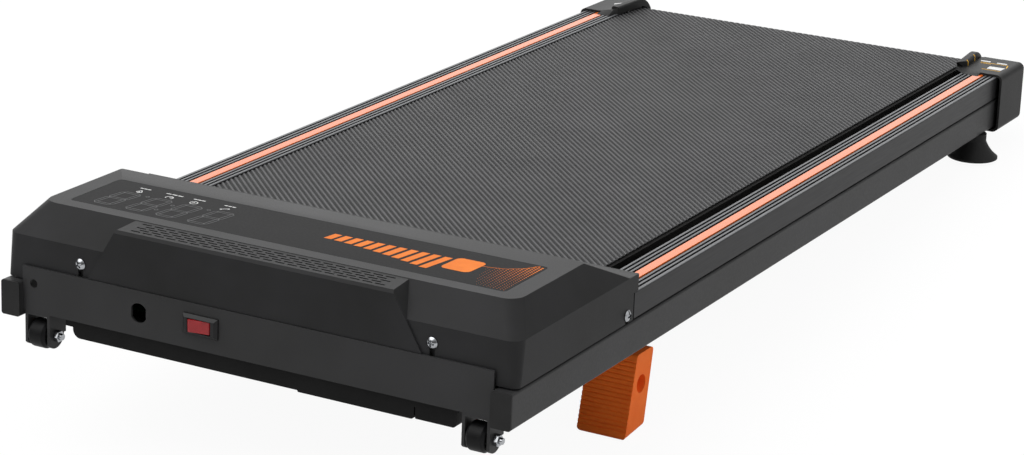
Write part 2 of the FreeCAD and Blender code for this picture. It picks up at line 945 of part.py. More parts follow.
def motor_pulley():
    return ribbed_pulley(motor_y, motor_z, motor_pulley_radius, pulley_left, 0.0, motor_shaft_radius)


def drive_belt():
    inner = (running_gap, running_gap)
    outer = (running_gap + drive_belt_thick, running_gap + drive_belt_thick)
    loops = []
    for small, large in (outer, inner):
        loops.append(
            loop_x(
                pulley_left, pulley_right, (motor_y, motor_z, motor_pulley_radius + small),
                (front_roller_y, roller_z, roller_pulley_radius + large),
            )
        )
    return loops[0].cut(loops[1])


def motor_can():
    return ring_x(
        motor_can_left, motor_can_right, motor_y, motor_z, motor_radius, motor_radius - motor_can_wall
    )


def motor_end_bells():
    bore = motor_shaft_radius + shaft_clearance
    bells = []
    for x in (motor_can_left - motor_bell, motor_can_right):
        bells.append(ring_x(x, x + motor_bell, motor_y, motor_z, motor_radius, bore))
    return Part.makeCompound(bells)


def motor_rotor():
    shaft_left = motor_can_left - motor_bell - flywheel_gap - flywheel_thick
    shaft = rod_x(shaft_left, pulley_right, motor_y, motor_z, motor_shaft_radius)
    armature = rod_x(
        motor_can_left + armature_margin, motor_can_right - armature_margin, motor_y, motor_z, armature_radius
    )
    return fused([shaft, armature])


def motor_flywheel():
    right = motor_can_left - motor_bell - flywheel_gap
    wheel = ring_x(right - flywheel_thick, right, motor_y, motor_z, flywheel_radius, motor_shaft_radius)
    web = ring_x(
        right - flywheel_thick, right - flywheel_thick / 2, motor_y, motor_z,
        flywheel_radius * 0.78, motor_shaft_radius * 2.4,
    )
    return wheel.cut(web)


def motor_bracket():
    plate_rear = motor_beam_y + motor_beam_width
    plate_z = flange_top + motor_plate_thick
    plate = box(motor_can_left + 4, motor_can_right - 4, plate_back + 4, plate_rear, flange_top, plate_z)
    parts = [plate]
    for x in (motor_can_left + 12, motor_can_right - 12 - saddle_thick):
        saddle = box(
            x, x + saddle_thick, motor_y - motor_radius * 0.9, motor_y + motor_radius * 0.9,
            plate_z, plate_z + saddle_rise,
        )
        parts.append(saddle)
    return fused(parts).cut(rod_x(motor_can_left, motor_can_right, motor_y, motor_z, motor_radius))


def controller_heatsink():
    floor = pan_floor()
    base = box(
        sink_left, sink_right, sink_front, sink_rear, floor + sink_height - sink_base, floor + sink_height
    )
    parts = [base]
    pitch = (sink_width - sink_fin) / (sink_fins - 1)
    for fin in range(sink_fins):
        x = sink_left + fin * pitch
        parts.append(box(x, x + sink_fin, sink_front, sink_rear, floor, floor + sink_height - sink_base))
    return fused(parts)


def controller_board():
    bottom = pan_floor() + sink_height
    top = bottom + board_thick
    parts = [box(sink_left, sink_right, sink_front, sink_rear, bottom, top)]
    middle = (sink_front + sink_rear) / 2
    first = sink_left + board_pitch * 0.85
    for step, radius, height in (
        (0, capacitor_radius, capacitor_height),
        (1, capacitor_radius, capacitor_height),
        (2, choke_radius, choke_height),
    ):
        parts.append(rod_z(top, top + height, first + step * board_pitch, middle, radius))
    relay_right = sink_right - relay_margin * 2
    parts.append(
        box(
            relay_right - relay_width, relay_right, sink_front + relay_margin, sink_rear - relay_margin,
            top, top + relay_height,
        )
    )
    return fused(parts)


def switch_bezel():
    front = plate_front - bezel_proud
    w = bezel_width / 2
    h = bezel_height / 2
    frame = box(switch_x - w, switch_x + w, front, plate_front, switch_z - h, switch_z + h)
    rim = [e for e in frame.Edges if abs(e.CenterOfMass.y - front) < 1e-6]
    frame = frame.makeChamfer(bezel_bevel * 0.9, rim)
    fit = bezel_bevel + plug_clearance
    body = box(
        switch_x - w + fit, switch_x + w - fit, plate_front, plate_front + switch_body_depth,
        switch_z - h + fit / 2, switch_z + h - fit / 2,
    )
    well_x = rocker_width / 2 + rocker_gap
    well_z = rocker_height / 2 + rocker_gap
    well = box(
        switch_x - well_x, switch_x + well_x, front, front + rocker_depth + 4.0,
        switch_z - well_z, switch_z + well_z,
    )
    socket = rod_z(
        switch_z - well_z - 0.9, switch_z + well_z + 0.9, switch_x, rocker_axis_y(),
        rocker_pin_radius + shaft_clearance,
    )
    return fused([frame, body]).cut([well, socket])


def rocker_axis_y():
    return plate_front - bezel_proud + rocker_depth * 0.35


def switch_rocker():
    # Shallow V-faced key with bevelled ends: its right half lies pressed in and its left end stands out.
    front = plate_front - bezel_proud - rocker_proud
    w = rocker_width / 2
    h = rocker_height / 2
    back = front + rocker_depth
    axis_y = rocker_axis_y()
    bevel = rocker_end_bevel
    profile = [
        (-w, front + bevel), (bevel - w, front), (0.0, front + rocker_dip),
        (w - bevel, front), (w, front + bevel),
        (w * 0.86, back - 2.2), (w * 0.4, back), (-w * 0.4, back), (-w * 0.86, back - 2.2),
    ]
    key = prism_z([(switch_x + x, y) for x, y in profile], switch_z - h, switch_z + h)
    pin = rod_z(switch_z - h - 1.2, switch_z + h + 1.2, switch_x, axis_y, rocker_pin_radius)
    key = fused([key, pin])
    key.rotate(V(switch_x, axis_y, switch_z), Z_AXIS, rocker_rest_deg)
    return key


def wheel_bracket():
    left = wheel_x - wheel_bracket_width / 2
    right = wheel_x + wheel_bracket_width / 2
    rear = wheel_bracket_front + wheel_bracket_depth
    top = box(left, right, wheel_bracket_front, rear, plate_bottom - wheel_bracket_sheet, plate_bottom)
    arms = []
    for x in (left, right - wheel_bracket_sheet):
        arm = box(
            x, x + wheel_bracket_sheet, wheel_bracket_front, rear, wheel_z, plate_bottom - wheel_bracket_sheet
        )
        end = rod_x(x, x + wheel_bracket_sheet, wheel_y, wheel_z, wheel_bracket_end)
        below = box(
            x, x + wheel_bracket_sheet, wheel_bracket_front, rear, wheel_z - wheel_bracket_end,
            plate_bottom - wheel_bracket_sheet,
        )
        arms += [arm, end.common(below)]
    hole = rod_x(left, right, wheel_y, wheel_z, bolt_radius + shaft_clearance)
    return fused([top] + arms).cut(hole)


def transport_wheel(x):
    left = x - wheel_width / 2
    right = x + wheel_width / 2
    tyre = rod_x(left, right, wheel_y, wheel_z, wheel_radius)
    rims = [e for e in tyre.Edges if len(e.Vertexes) == 1]
    tyre = tyre.makeChamfer(wheel_edge, rims)
    dish = wheel_radius * 0.62
    hub = bolt_radius + 3.0
    cuts = [rod_x(left, right, wheel_y, wheel_z, bolt_radius + shaft_clearance)]
    for x0, x1 in ((left, left + 3.0), (right - 3.0, right)):
        cuts.append(ring_x(x0, x1, wheel_y, wheel_z, dish, hub))
    return tyre.cut(cuts)


def wheel_bolts():
    bolts = []
    for x in (-wheel_x, wheel_x):
        left = x - wheel_bracket_width / 2
        right = x + wheel_bracket_width / 2
        head = rod_x(left - bolt_head, left, wheel_y, wheel_z, bolt_head_radius)
        shank = rod_x(left, right + nut_thick + bolt_tail, wheel_y, wheel_z, bolt_radius)
        bolts.append(fused([head, shank]))
    return Part.makeCompound(bolts)


def wheel_nuts():
    nuts = []
    for x in (-wheel_x, wheel_x):
        right = x + wheel_bracket_width / 2
        nut = hex_prism_x(right, nut_thick, wheel_y, wheel_z, nut_flats)
        nuts.append(nut.cut(rod_x(right, right + nut_thick, wheel_y, wheel_z, bolt_radius)))
    return Part.makeCompound(nuts)


def incline_angle():
    # Angle of the floor line from the foot's front sole edge to the rear feet's flat discs.
    run = rear_foot_y + rear_disc_radius - (pivot_y - foot_sole_front)
    return math.atan2(-rear_foot_height - sole_z, run)


def foot_profile():
    # Side view of the foot's block, leaning forward, with its sole parallel to the floor.
    top = pivot_z - foot_top_drop
    top_front_y = pivot_y - foot_top_front
    sole_front_y = pivot_y - foot_sole_front
    sole_rise = foot_sole_depth * math.tan(incline_angle())
    return [
        (top_front_y, top), (sole_front_y, sole_z), (sole_front_y + foot_sole_depth, sole_z + sole_rise),
        (top_front_y + foot_top_depth, top),
    ]


def incline_foot():
    profile = foot_profile()
    block = prism_x(profile, foot_inner_x, foot_outer_x)
    across = [e for e in block.Edges if abs(e.Length - foot_width) < 1e-6]
    block = block.makeFillet(foot_round, across).common(sole_rounding())
    lug_left = foot_middle_x - foot_lug_width / 2
    lug_right = foot_middle_x + foot_lug_width / 2
    lug_round = rod_x(lug_left, lug_right, pivot_y, pivot_z, foot_lug_radius)
    lug_stem = prism_x([(pivot_y + y, pivot_z + z) for y, z in lug_stem_profile()], lug_left, lug_right)
    foot = fused([block, lug_round, lug_stem])
    return foot.cut(foot_cuts(profile))


def sole_rounding():
    # Envelope swept along the sole that rounds the foot's two lower side edges.
    front = pivot_y - foot_sole_front
    r = foot_sole_round
    bend = r * (1 - math.sqrt(0.5))
    left_top = V(foot_inner_x, front, pivot_z)
    left_low = V(foot_inner_x, front, sole_z + r)
    left_sole = V(foot_inner_x + r, front, sole_z)
    right_sole = V(foot_outer_x - r, front, sole_z)
    right_low = V(foot_outer_x, front, sole_z + r)
    right_top = V(foot_outer_x, front, pivot_z)
    edges = [
        Part.makeLine(left_top, left_low),
        Part.Arc(left_low, V(foot_inner_x + bend, front, sole_z + bend), left_sole).toShape(),
        Part.makeLine(left_sole, right_sole),
        Part.Arc(right_sole, V(foot_outer_x - bend, front, sole_z + bend), right_low).toShape(),
        Part.makeLine(right_low, right_top),
        Part.makeLine(right_top, left_top),
    ]
    sweep = foot_sole_front + foot_top_depth
    return Part.Face(Part.Wire(edges)).extrude(V(0, sweep, sweep * math.tan(incline_angle())))


def lug_stem_profile():
    # Joins the hinge lug to the block; its rear side leans to stay inside the lug's sweep when folded.
    lean = math.radians(foot_fold_deg - 90.0)
    drop = foot_top_drop + foot_round
    touch_y = foot_lug_radius * math.cos(lean)
    touch_z = -foot_lug_radius * math.sin(lean)
    return [
        (-foot_lug_radius, 0.0), (-foot_lug_radius, -drop),
        (touch_y - (drop + touch_z) * math.tan(lean), -drop), (touch_y, touch_z), (0.0, 0.0),
    ]


def foot_cuts(profile):
    # Hinge bore, grip ribs across the front face and the round blind hole in the outer side.
    (top_y, top_z), (bottom_y, bottom_z) = profile[0], profile[1]
    cuts = [rod_x(foot_inner_x, foot_outer_x, pivot_y, pivot_z, foot_pin_radius + shaft_clearance)]
    margin = foot_round * 1.5
    length = math.hypot(top_y - bottom_y, top_z - bottom_z)
    along = V(0, (bottom_y - top_y) / length, (bottom_z - top_z) / length)
    inward = V(0, -along.z, along.y)
    pitch = (length - 2 * margin) / foot_rib_count
    for rib in range(foot_rib_count):
        start = V(0, top_y, top_z) + along * (margin + rib * pitch)
        corners = [start, start + along * (pitch / 2), start + along * (pitch / 4) + inward * foot_rib_depth]
        cuts.append(prism_x([(c.y, c.z) for c in corners], foot_inner_x, foot_outer_x))
    cuts.append(
        rod_x(
            foot_outer_x - foot_hole_depth, foot_outer_x,
            pivot_y - foot_hole_forward, pivot_z - foot_hole_drop,
            foot_hole_radius,
        )
    )
    return cuts


def foot_bracket():
    ear_inner = foot_lug_width / 2 + foot_ear_gap
    ear_outer = ear_inner + foot_ear
    base = box(
        foot_middle_x - ear_outer, foot_middle_x + ear_outer,
        pivot_y - foot_ear_radius, pivot_y + foot_ear_radius,
        foot_bar_bottom - foot_bracket_sheet, foot_bar_bottom,
    )
    parts = [base]
    for x in (foot_middle_x - ear_outer, foot_middle_x + ear_inner):
        parts.append(rod_x(x, x + foot_ear, pivot_y, pivot_z, foot_ear_radius))
        parts.append(
            box(
                x, x + foot_ear, pivot_y - foot_ear_radius, pivot_y + foot_ear_radius,
                pivot_z, foot_bar_bottom - foot_bracket_sheet,
            )
        )
    hole = rod_x(
        foot_middle_x - ear_outer, foot_middle_x + ear_outer, pivot_y, pivot_z, foot_pin_radius
    )
    return fused(parts).cut(hole)


def foot_pins():
    reach = foot_lug_width / 2 + foot_ear_gap + foot_ear
    pin = rod_x(foot_middle_x - reach, foot_middle_x + reach, pivot_y, pivot_z, foot_pin_radius)
    near_end = foot_middle_x - reach
    far_end = foot_middle_x + reach
    heads = [
        rod_x(near_end - foot_pin_end, near_end, pivot_y, pivot_z, foot_pin_radius * 1.6),
        rod_x(far_end, far_end + foot_pin_end, pivot_y, pivot_z, foot_pin_radius * 1.6),
    ]
    pin = fused([pin] + heads)
    return Part.makeCompound([pin, mirrored(pin)])


def rear_foot():
    # Flared rubber cone under the tube; the bevel round its flat disc lies on the floor in the inclined pad.
    x = half - tube_width / 2
    bevel_z = -rear_foot_height + (rear_bevel_radius - rear_disc_radius) * math.tan(incline_angle())
    rim_z = bevel_z + rear_rim_rise
    def on_section(radius, z):
        return V(x + radius, rear_foot_y, z)

    neck = on_section(rear_neck_radius, -rear_neck_height)
    rim = on_section(rear_foot_radius, rim_z + rear_rim_height)
    chord = rim - neck
    hollow = V(chord.z, 0, -chord.x) * (rear_flare_sag / chord.Length)
    straight = [
        rim, on_section(rear_foot_radius, rim_z), on_section(rear_bevel_radius, bevel_z),
        on_section(rear_disc_radius, -rear_foot_height), on_section(0, -rear_foot_height), on_section(0, 0),
        on_section(rear_neck_radius, 0), neck,
    ]
    edges = [Part.makeLine(start, end) for start, end in zip(straight, straight[1:])]
    edges.append(Part.Arc(neck, (neck + rim) * 0.5 + hollow, rim).toShape())
    return Part.Face(Part.Wire(edges)).revolve(V(x, rear_foot_y, 0), Z_AXIS, 360)


def roller_guard(guard_inner_x, toe, beak):
    # Raised rib beside the belt edge that runs back, toes in and curls down behind the roller.
    # A beak draws its front end to an undercut point on the belt side.
    inner = belt_outer_radius + guard_clearance
    centre_y = rear_roller_y - guard_lead
    centre_z = cap_top + guard_rise - guard_curl

    def curl(degrees):
        angle = math.radians(degrees)
        y = centre_y + guard_curl * math.cos(angle)
        return V(guard_inner_x, y, centre_z + guard_curl * math.sin(angle))

    tail = curl(guard_tail_deg)
    lift = math.asin((tail.z - roller_z) / inner)

    def hollow(angle):
        return V(guard_inner_x, rear_roller_y + inner * math.cos(angle), roller_z + inner * math.sin(angle))

    nose_y = cap_front + cap_visor
    nose_z = cap_top + guard_rise - guard_fall
    nose_low = V(guard_inner_x, nose_y + beak * 0.6, roller_z + inner)
    nose_high = V(guard_inner_x, nose_y, nose_z)
    quarter = math.pi / 2
    edges = [
        Part.Arc(curl(90.0), curl((90.0 + guard_tail_deg) / 2), tail).toShape(),
        Part.makeLine(tail, hollow(lift)),
        Part.Arc(hollow(lift), hollow((lift + quarter) / 2), hollow(quarter)).toShape(),
        Part.makeLine(hollow(quarter), nose_low),
        Part.makeLine(nose_low, nose_high),
        Part.makeLine(nose_high, curl(90.0)),
    ]
    rib = Part.Face(Part.Wire(edges)).extrude(V(guard_width, 0, 0))
    long_edges = []
    for edge in rib.Edges:
        middle = edge.valueAt((edge.FirstParameter + edge.LastParameter) / 2)
        lengthwise = abs(edge.Vertexes[0].Point.x - edge.Vertexes[-1].Point.x) < 1e-6
        outside = middle.z > nose_z + 1e-6 or middle.y > centre_y + guard_curl * 0.75
        if lengthwise and outside and edge.Length > guard_width:
            long_edges.append(edge)
    rib = rib.makeFillet(guard_round, long_edges)
    if beak > 0:
        far_x = guard_inner_x + guard_width + 1.0
        corner = [(guard_inner_x - 1.0, nose_y - 4.0), (far_x, nose_y - 4.0), (far_x, nose_y + beak)]
        rib = rib.cut(prism_z(corner, 0, 2 * cap_top))
    rib.rotate(V(guard_inner_x, nose_y, 0), Z_AXIS, toe)
    return rib


def visor_outline(guard_inner_x, toe, z, front, inner_front, crown):
    # The visor keeps its reach as far as its knee and then sweeps back to a tip beside the belt.
    # A crown tilts the outline up toward the guard.
    tip = guard_inner_x + 4.0
    toe_x = guard_inner_x - (rear_roller_y - cap_front - cap_visor) * math.tan(math.radians(toe))
    corners = [
        (tube_inner_x, front), (tube_inner_x - visor_knee, front + 1.0), (tip, inner_front),
        (guard_inner_x, cap_front + cap_visor), (toe_x, rear_roller_y),
        (cap_inner_x, pad_length - cap_round), (tube_inner_x, pad_length - cap_round),
    ]
    slope = crown / (tube_inner_x - guard_inner_x)
    points = [V(x, y, z + (tube_inner_x - x) * slope) for x, y in corners]
    return Part.makePolygon(points + [points[0]])


def end_cap(guard_inner_x, toe, crown, beak):
    floor = -cap_floor_gap - cap_wall
    cavity_x = cap_outer_x - cap_wall
    cavity_rear = pad_length - cap_wall
    sleeve = box(tube_inner_x, cap_outer_x, cap_front, pad_length, floor, cap_top)

    def soft(edge):
        c = edge.CenterOfMass
        outer_side = abs(c.x - cap_outer_x) < 1e-6
        rear = abs(c.y - pad_length) < 1e-6
        top_or_bottom = abs(c.z - cap_top) < 1e-6 or abs(c.z - floor) < 1e-6
        return (outer_side and rear) or (top_or_bottom and (outer_side or rear))

    def soft_inside(edge):
        c = edge.CenterOfMass
        outer_side = abs(c.x - cavity_x) < 1e-6
        rear = abs(c.y - cavity_rear) < 1e-6
        top_or_bottom = abs(c.z - rail_top) < 1e-6 or abs(c.z + cap_floor_gap) < 1e-6
        return (outer_side and rear) or (top_or_bottom and (outer_side or rear))

    sleeve = sleeve.makeFillet(cap_round, [e for e in sleeve.Edges if soft(e)])
    rear_wall = box(cap_inner_x, tube_inner_x, pad_length - cap_wall, pad_length, floor, rail_top)
    root = cap_front + cap_visor
    low = visor_outline(guard_inner_x, toe, rail_top, cap_front - visor_reach, root - 4.0, 0.0)
    high = visor_outline(guard_inner_x, toe, cap_top, root - 3.0, root - 0.5, crown)
    visor = Part.makeLoft([low, high], True, True)
    cavity = box(rail_inner_x, cavity_x, cap_front - 2 * cap_visor, cavity_rear, -cap_floor_gap, rail_top)
    cavity = cavity.makeFillet(cap_round - cap_wall, [e for e in cavity.Edges if soft_inside(e)])
    access = rod_y(pad_length - 2 * cap_wall, pad_length, tension_x, roller_z, bolt_access_radius)
    guard = roller_guard(guard_inner_x, toe, beak)
    return fused([sleeve.cut(cavity), rear_wall, visor, guard]).cut(access)


def build():
    both_sides("frame_tube", frame_tube())
    both_sides("tube_plug", tube_plug())
    both_sides("side_rail", side_rail())
    both_sides("rail_strip", rail_strip())
    pieces["right_end_cap"] = end_cap(belt_right + guard_right_gap, guard_right_toe, 0.0, guard_beak)
    pieces["left_end_cap"] = mirrored(end_cap(guard_left_gap - belt_left, guard_left_toe, cap_crown, 0.0))
    both_sides("rear_foot", rear_foot())
    both_sides("incline_foot", incline_foot())
    both_sides("foot_bracket", foot_bracket())
    both_sides("wheel_bracket", wheel_bracket())
    pieces["left_wheel"] = transport_wheel(-wheel_x)
    pieces["right_wheel"] = transport_wheel(wheel_x)
    pieces["wheel_bolts"] = wheel_bolts()
    pieces["wheel_nuts"] = wheel_nuts()
    pieces["foot_pins"] = foot_pins()
    pieces["foot_bar"] = hollow_beam(foot_bar_y, foot_bar_width, foot_bar_bottom, foot_bar_height)
    for name, y in zip(("front", "middle", "rear"), cross_places):
        pieces[name + "_cross_member"] = hollow_beam(
            y - cross_width / 2, cross_width, cross_top - cross_height, cross_height
        )
    pieces["motor_beam"] = hollow_beam(
        motor_beam_y, motor_beam_width, flange_top - motor_beam_height, motor_beam_height
    )
    pieces["front_plate"] = front_plate()
    pieces["motor_hood"] = motor_hood()
    pieces["display_panel"] = display_panel()
    pieces["display_board"] = display_board()
    pieces["hood_screws"] = screw_set()
    pieces["belly_pan"] = belly_pan()
    pieces["running_deck"] = running_deck()
    pieces["deck_cushions"] = deck_cushions()
    pieces["walking_belt"] = walking_belt()
    for name, y in (("front", front_roller_y), ("rear", rear_roller_y)):
        pieces[name + "_roller"] = roller(y)
        pieces[name + "_roller_bearings"] = roller_bearings(y)
        pieces[name + "_roller_shaft"] = roller_shaft(y)
    pieces["front_roller_brackets"] = front_roller_brackets()
    pieces["rear_shaft_blocks"] = shaft_blocks()
    pieces["tension_bolts"] = tension_bolts()
    pieces["roller_pulley"] = roller_pulley()
    pieces["motor_pulley"] = motor_pulley()
    pieces["drive_belt"] = drive_belt()
    pieces["motor_can"] = motor_can()
    pieces["motor_end_bells"] = motor_end_bells()
    pieces["motor_rotor"] = motor_rotor()
    pieces["motor_flywheel"] = motor_flywheel()
    pieces["motor_bracket"] = motor_bracket()
    pieces["controller_heatsink"] = controller_heatsink()
    pieces["controller_board"] = controller_board()
    pieces["switch_bezel"] = switch_bezel()
    pieces["switch_rocker"] = switch_rocker()


def standing_placement():
    # Tips the level pad back onto its feet and centres it over the origin, with the floor at zero.
    tilt = FreeCAD.Rotation(X_AXIS, -math.degrees(incline_angle()))
    tipped = FreeCAD.Placement(V(0, 0, 0), tilt)
    whole = Part.makeCompound([shape.copy() for shape in pieces.values()])
    whole.Placement = tipped
    extent = whole.optimalBoundingBox(False, False)
    floor = tipped.multVec(V(0, pivot_y - foot_sole_front, sole_z)).z
    shift = V(0, -(extent.YMin + extent.YMax) / 2, -floor)
    return FreeCAD.Placement(shift, tilt)


build()
standing = standing_placement()
os.makedirs("parts", exist_ok=True)
for name, shape in pieces.items():
    placed = shape.copy()
    placed.Placement = standing.multiply(placed.Placement)
    placed.exportStep("parts/" + name + ".step")
print("pieces", len(pieces), "incline", round(math.degrees(incline_angle()), 3))
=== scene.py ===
import math
import bpy
from mathutils import Matrix, Vector


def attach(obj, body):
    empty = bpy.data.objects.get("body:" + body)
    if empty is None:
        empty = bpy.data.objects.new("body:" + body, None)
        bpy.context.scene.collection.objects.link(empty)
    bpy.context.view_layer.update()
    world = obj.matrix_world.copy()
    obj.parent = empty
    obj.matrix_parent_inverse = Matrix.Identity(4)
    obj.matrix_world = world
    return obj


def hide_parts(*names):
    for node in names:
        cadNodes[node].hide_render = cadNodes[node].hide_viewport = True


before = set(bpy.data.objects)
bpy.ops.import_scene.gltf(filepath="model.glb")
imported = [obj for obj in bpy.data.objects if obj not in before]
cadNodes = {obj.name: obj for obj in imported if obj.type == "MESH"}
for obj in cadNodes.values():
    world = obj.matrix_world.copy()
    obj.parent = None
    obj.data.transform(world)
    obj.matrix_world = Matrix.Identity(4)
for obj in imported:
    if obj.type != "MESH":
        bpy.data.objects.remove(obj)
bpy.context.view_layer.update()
print("frame loaded with", len(cadNodes), "nodes")

# The pad stands tipped on its incline feet. Sizes below are millimetres in the level deck frame:
# x across, y from the front end, z up from the tube underside.
deck = {"tiltDeg": 4.865653, "shiftY": -604.874, "lift": 123.469}
tilt = math.radians(deck["tiltDeg"])
raised = Matrix.Translation((0, deck["shiftY"] / 1000, deck["lift"] / 1000))
toRoom = raised @ Matrix.Rotation(-tilt, 4, "X")
toDeck = toRoom.inverted()


def place(x, y, z):
    return toRoom @ Vector((x / 1000, y / 1000, z / 1000))


def linear(hexColour):
    # sRGB hex to the linear colour a shader wants
    out = []
    for i in (0, 2, 4):
        c = int(hexColour[i:i + 2], 16) / 255
        out.append(c / 12.92 if c <= 0.04045 else ((c + 0.055) / 1.055) ** 2.4)
    return (*out, 1.0)


def addNode(tree, kind, inputs=None):
    # adds one shader node; a value that is a socket gets joined, any other is set
    made = tree.nodes.new(kind)
    for key, value in (inputs or {}).items():
        if isinstance(value, bpy.types.NodeSocket):
            tree.links.new(value, made.inputs[key])
        elif isinstance(key, int) or key in made.inputs:
            made.inputs[key].default_value = value
        else:
            setattr(made, key, value)
    return made


# The noise behind every finish, and how much of its range tints and roughens the face
noise = {"patch": {"Detail": 3.0, "Roughness": 0.6}, "grain": {"Detail": 2.0, "Roughness": 0.55},
         "tintSpan": (0.3, 0.7), "roughSpan": (0.25, 0.75), "bumpShare": 0.25}
# A Mix node names its colour sockets like its other ones, so they go by number
mixColour = {"factor": 0, "first": 6, "second": 7, "result": 2}


def cloudy(tree, fac, dark, light):
    # two close colours spread over a noise pattern
    tint = addNode(tree, "ShaderNodeValToRGB", {"Fac": fac})
    for stop, position, colour in zip(tint.color_ramp.elements, noise["tintSpan"], (dark, light)):
        stop.position = position
        stop.color = linear(colour)
    return tint.outputs["Color"]


def surface(look):
    # One finish: cloudy colour, grain as bump, drifting roughness; an optional painted highlight makes the
    # colour lighter above a given height.
    material = bpy.data.materials.new(look["name"])
    material.use_nodes = True
    tree = material.node_tree
    tree.nodes.clear()
    coords = addNode(tree, "ShaderNodeTexCoord")
    level = addNode(tree, "ShaderNodeMapping", {
        "Vector": coords.outputs["Object"], "Rotation": (tilt, 0, 0), "Location": toDeck.to_translation(),
    })
    drawn = addNode(tree, "ShaderNodeMapping", {
        "Vector": level.outputs["Vector"], "Scale": look.get("stretch", (1, 1, 1)),
    })
    patch = addNode(tree, "ShaderNodeTexNoise", {
        "Vector": drawn.outputs["Vector"], "Scale": 1000 / look["patchMm"], **noise["patch"],
    })
    grain = addNode(tree, "ShaderNodeTexNoise", {
        "Vector": drawn.outputs["Vector"], "Scale": 1000 / look["grainMm"], **noise["grain"],
    })
    colour = cloudy(tree, patch.outputs["Fac"], look["dark"], look["light"])
    # painted highlight: faces above the given height take a lighter colour that stands in for light on the
    # tops
    if "paintedHighlight" in look:
        paintedHighlight = look["paintedHighlight"]
        height = addNode(tree, "ShaderNodeSeparateXYZ", {"Vector": level.outputs["Vector"]})
        highlightShare = addNode(tree, "ShaderNodeMapRange", {
            "Value": height.outputs["Z"],
            "From Min": paintedHighlight["low"] / 1000, "From Max": paintedHighlight["high"] / 1000,
        })
        mixed = addNode(tree, "ShaderNodeMix", {
            "data_type": "RGBA",
            mixColour["factor"]: highlightShare.outputs["Result"],
            mixColour["first"]: colour,
            mixColour["second"]: cloudy(tree, patch.outputs["Fac"], paintedHighlight["dark"], paintedHighlight["light"]),
        })
        colour = mixed.outputs[mixColour["result"]]
    rough = addNode(tree, "ShaderNodeMapRange", {
        "Value": grain.outputs["Fac"],
        "From Min": noise["roughSpan"][0], "From Max": noise["roughSpan"][1],
        "To Min": look["rough"][0], "To Max": look["rough"][1],
    })
    bump = addNode(tree, "ShaderNodeBump", {
        "Height": grain.outputs["Fac"], "Strength": look["bump"],
        "Distance": look["grainMm"] * noise["bumpShare"] / 1000,
    })
    shader = addNode(tree, "ShaderNodeBsdfPrincipled", {
        "Base Color": colour,
        "Roughness": rough.outputs["Result"],
        "Normal": bump.outputs["Normal"],
        "Metallic": look.get("metallic", 0.0),
        "Specular IOR Level": look.get("specular", 0.5),
        "Coat Weight": look.get("coat", 0.0),
        "Coat Roughness": look.get("coatRough", 0.2),
    })
    addNode(tree, "ShaderNodeOutputMaterial", {"Surface": shader.outputs["BSDF"]})
    return material
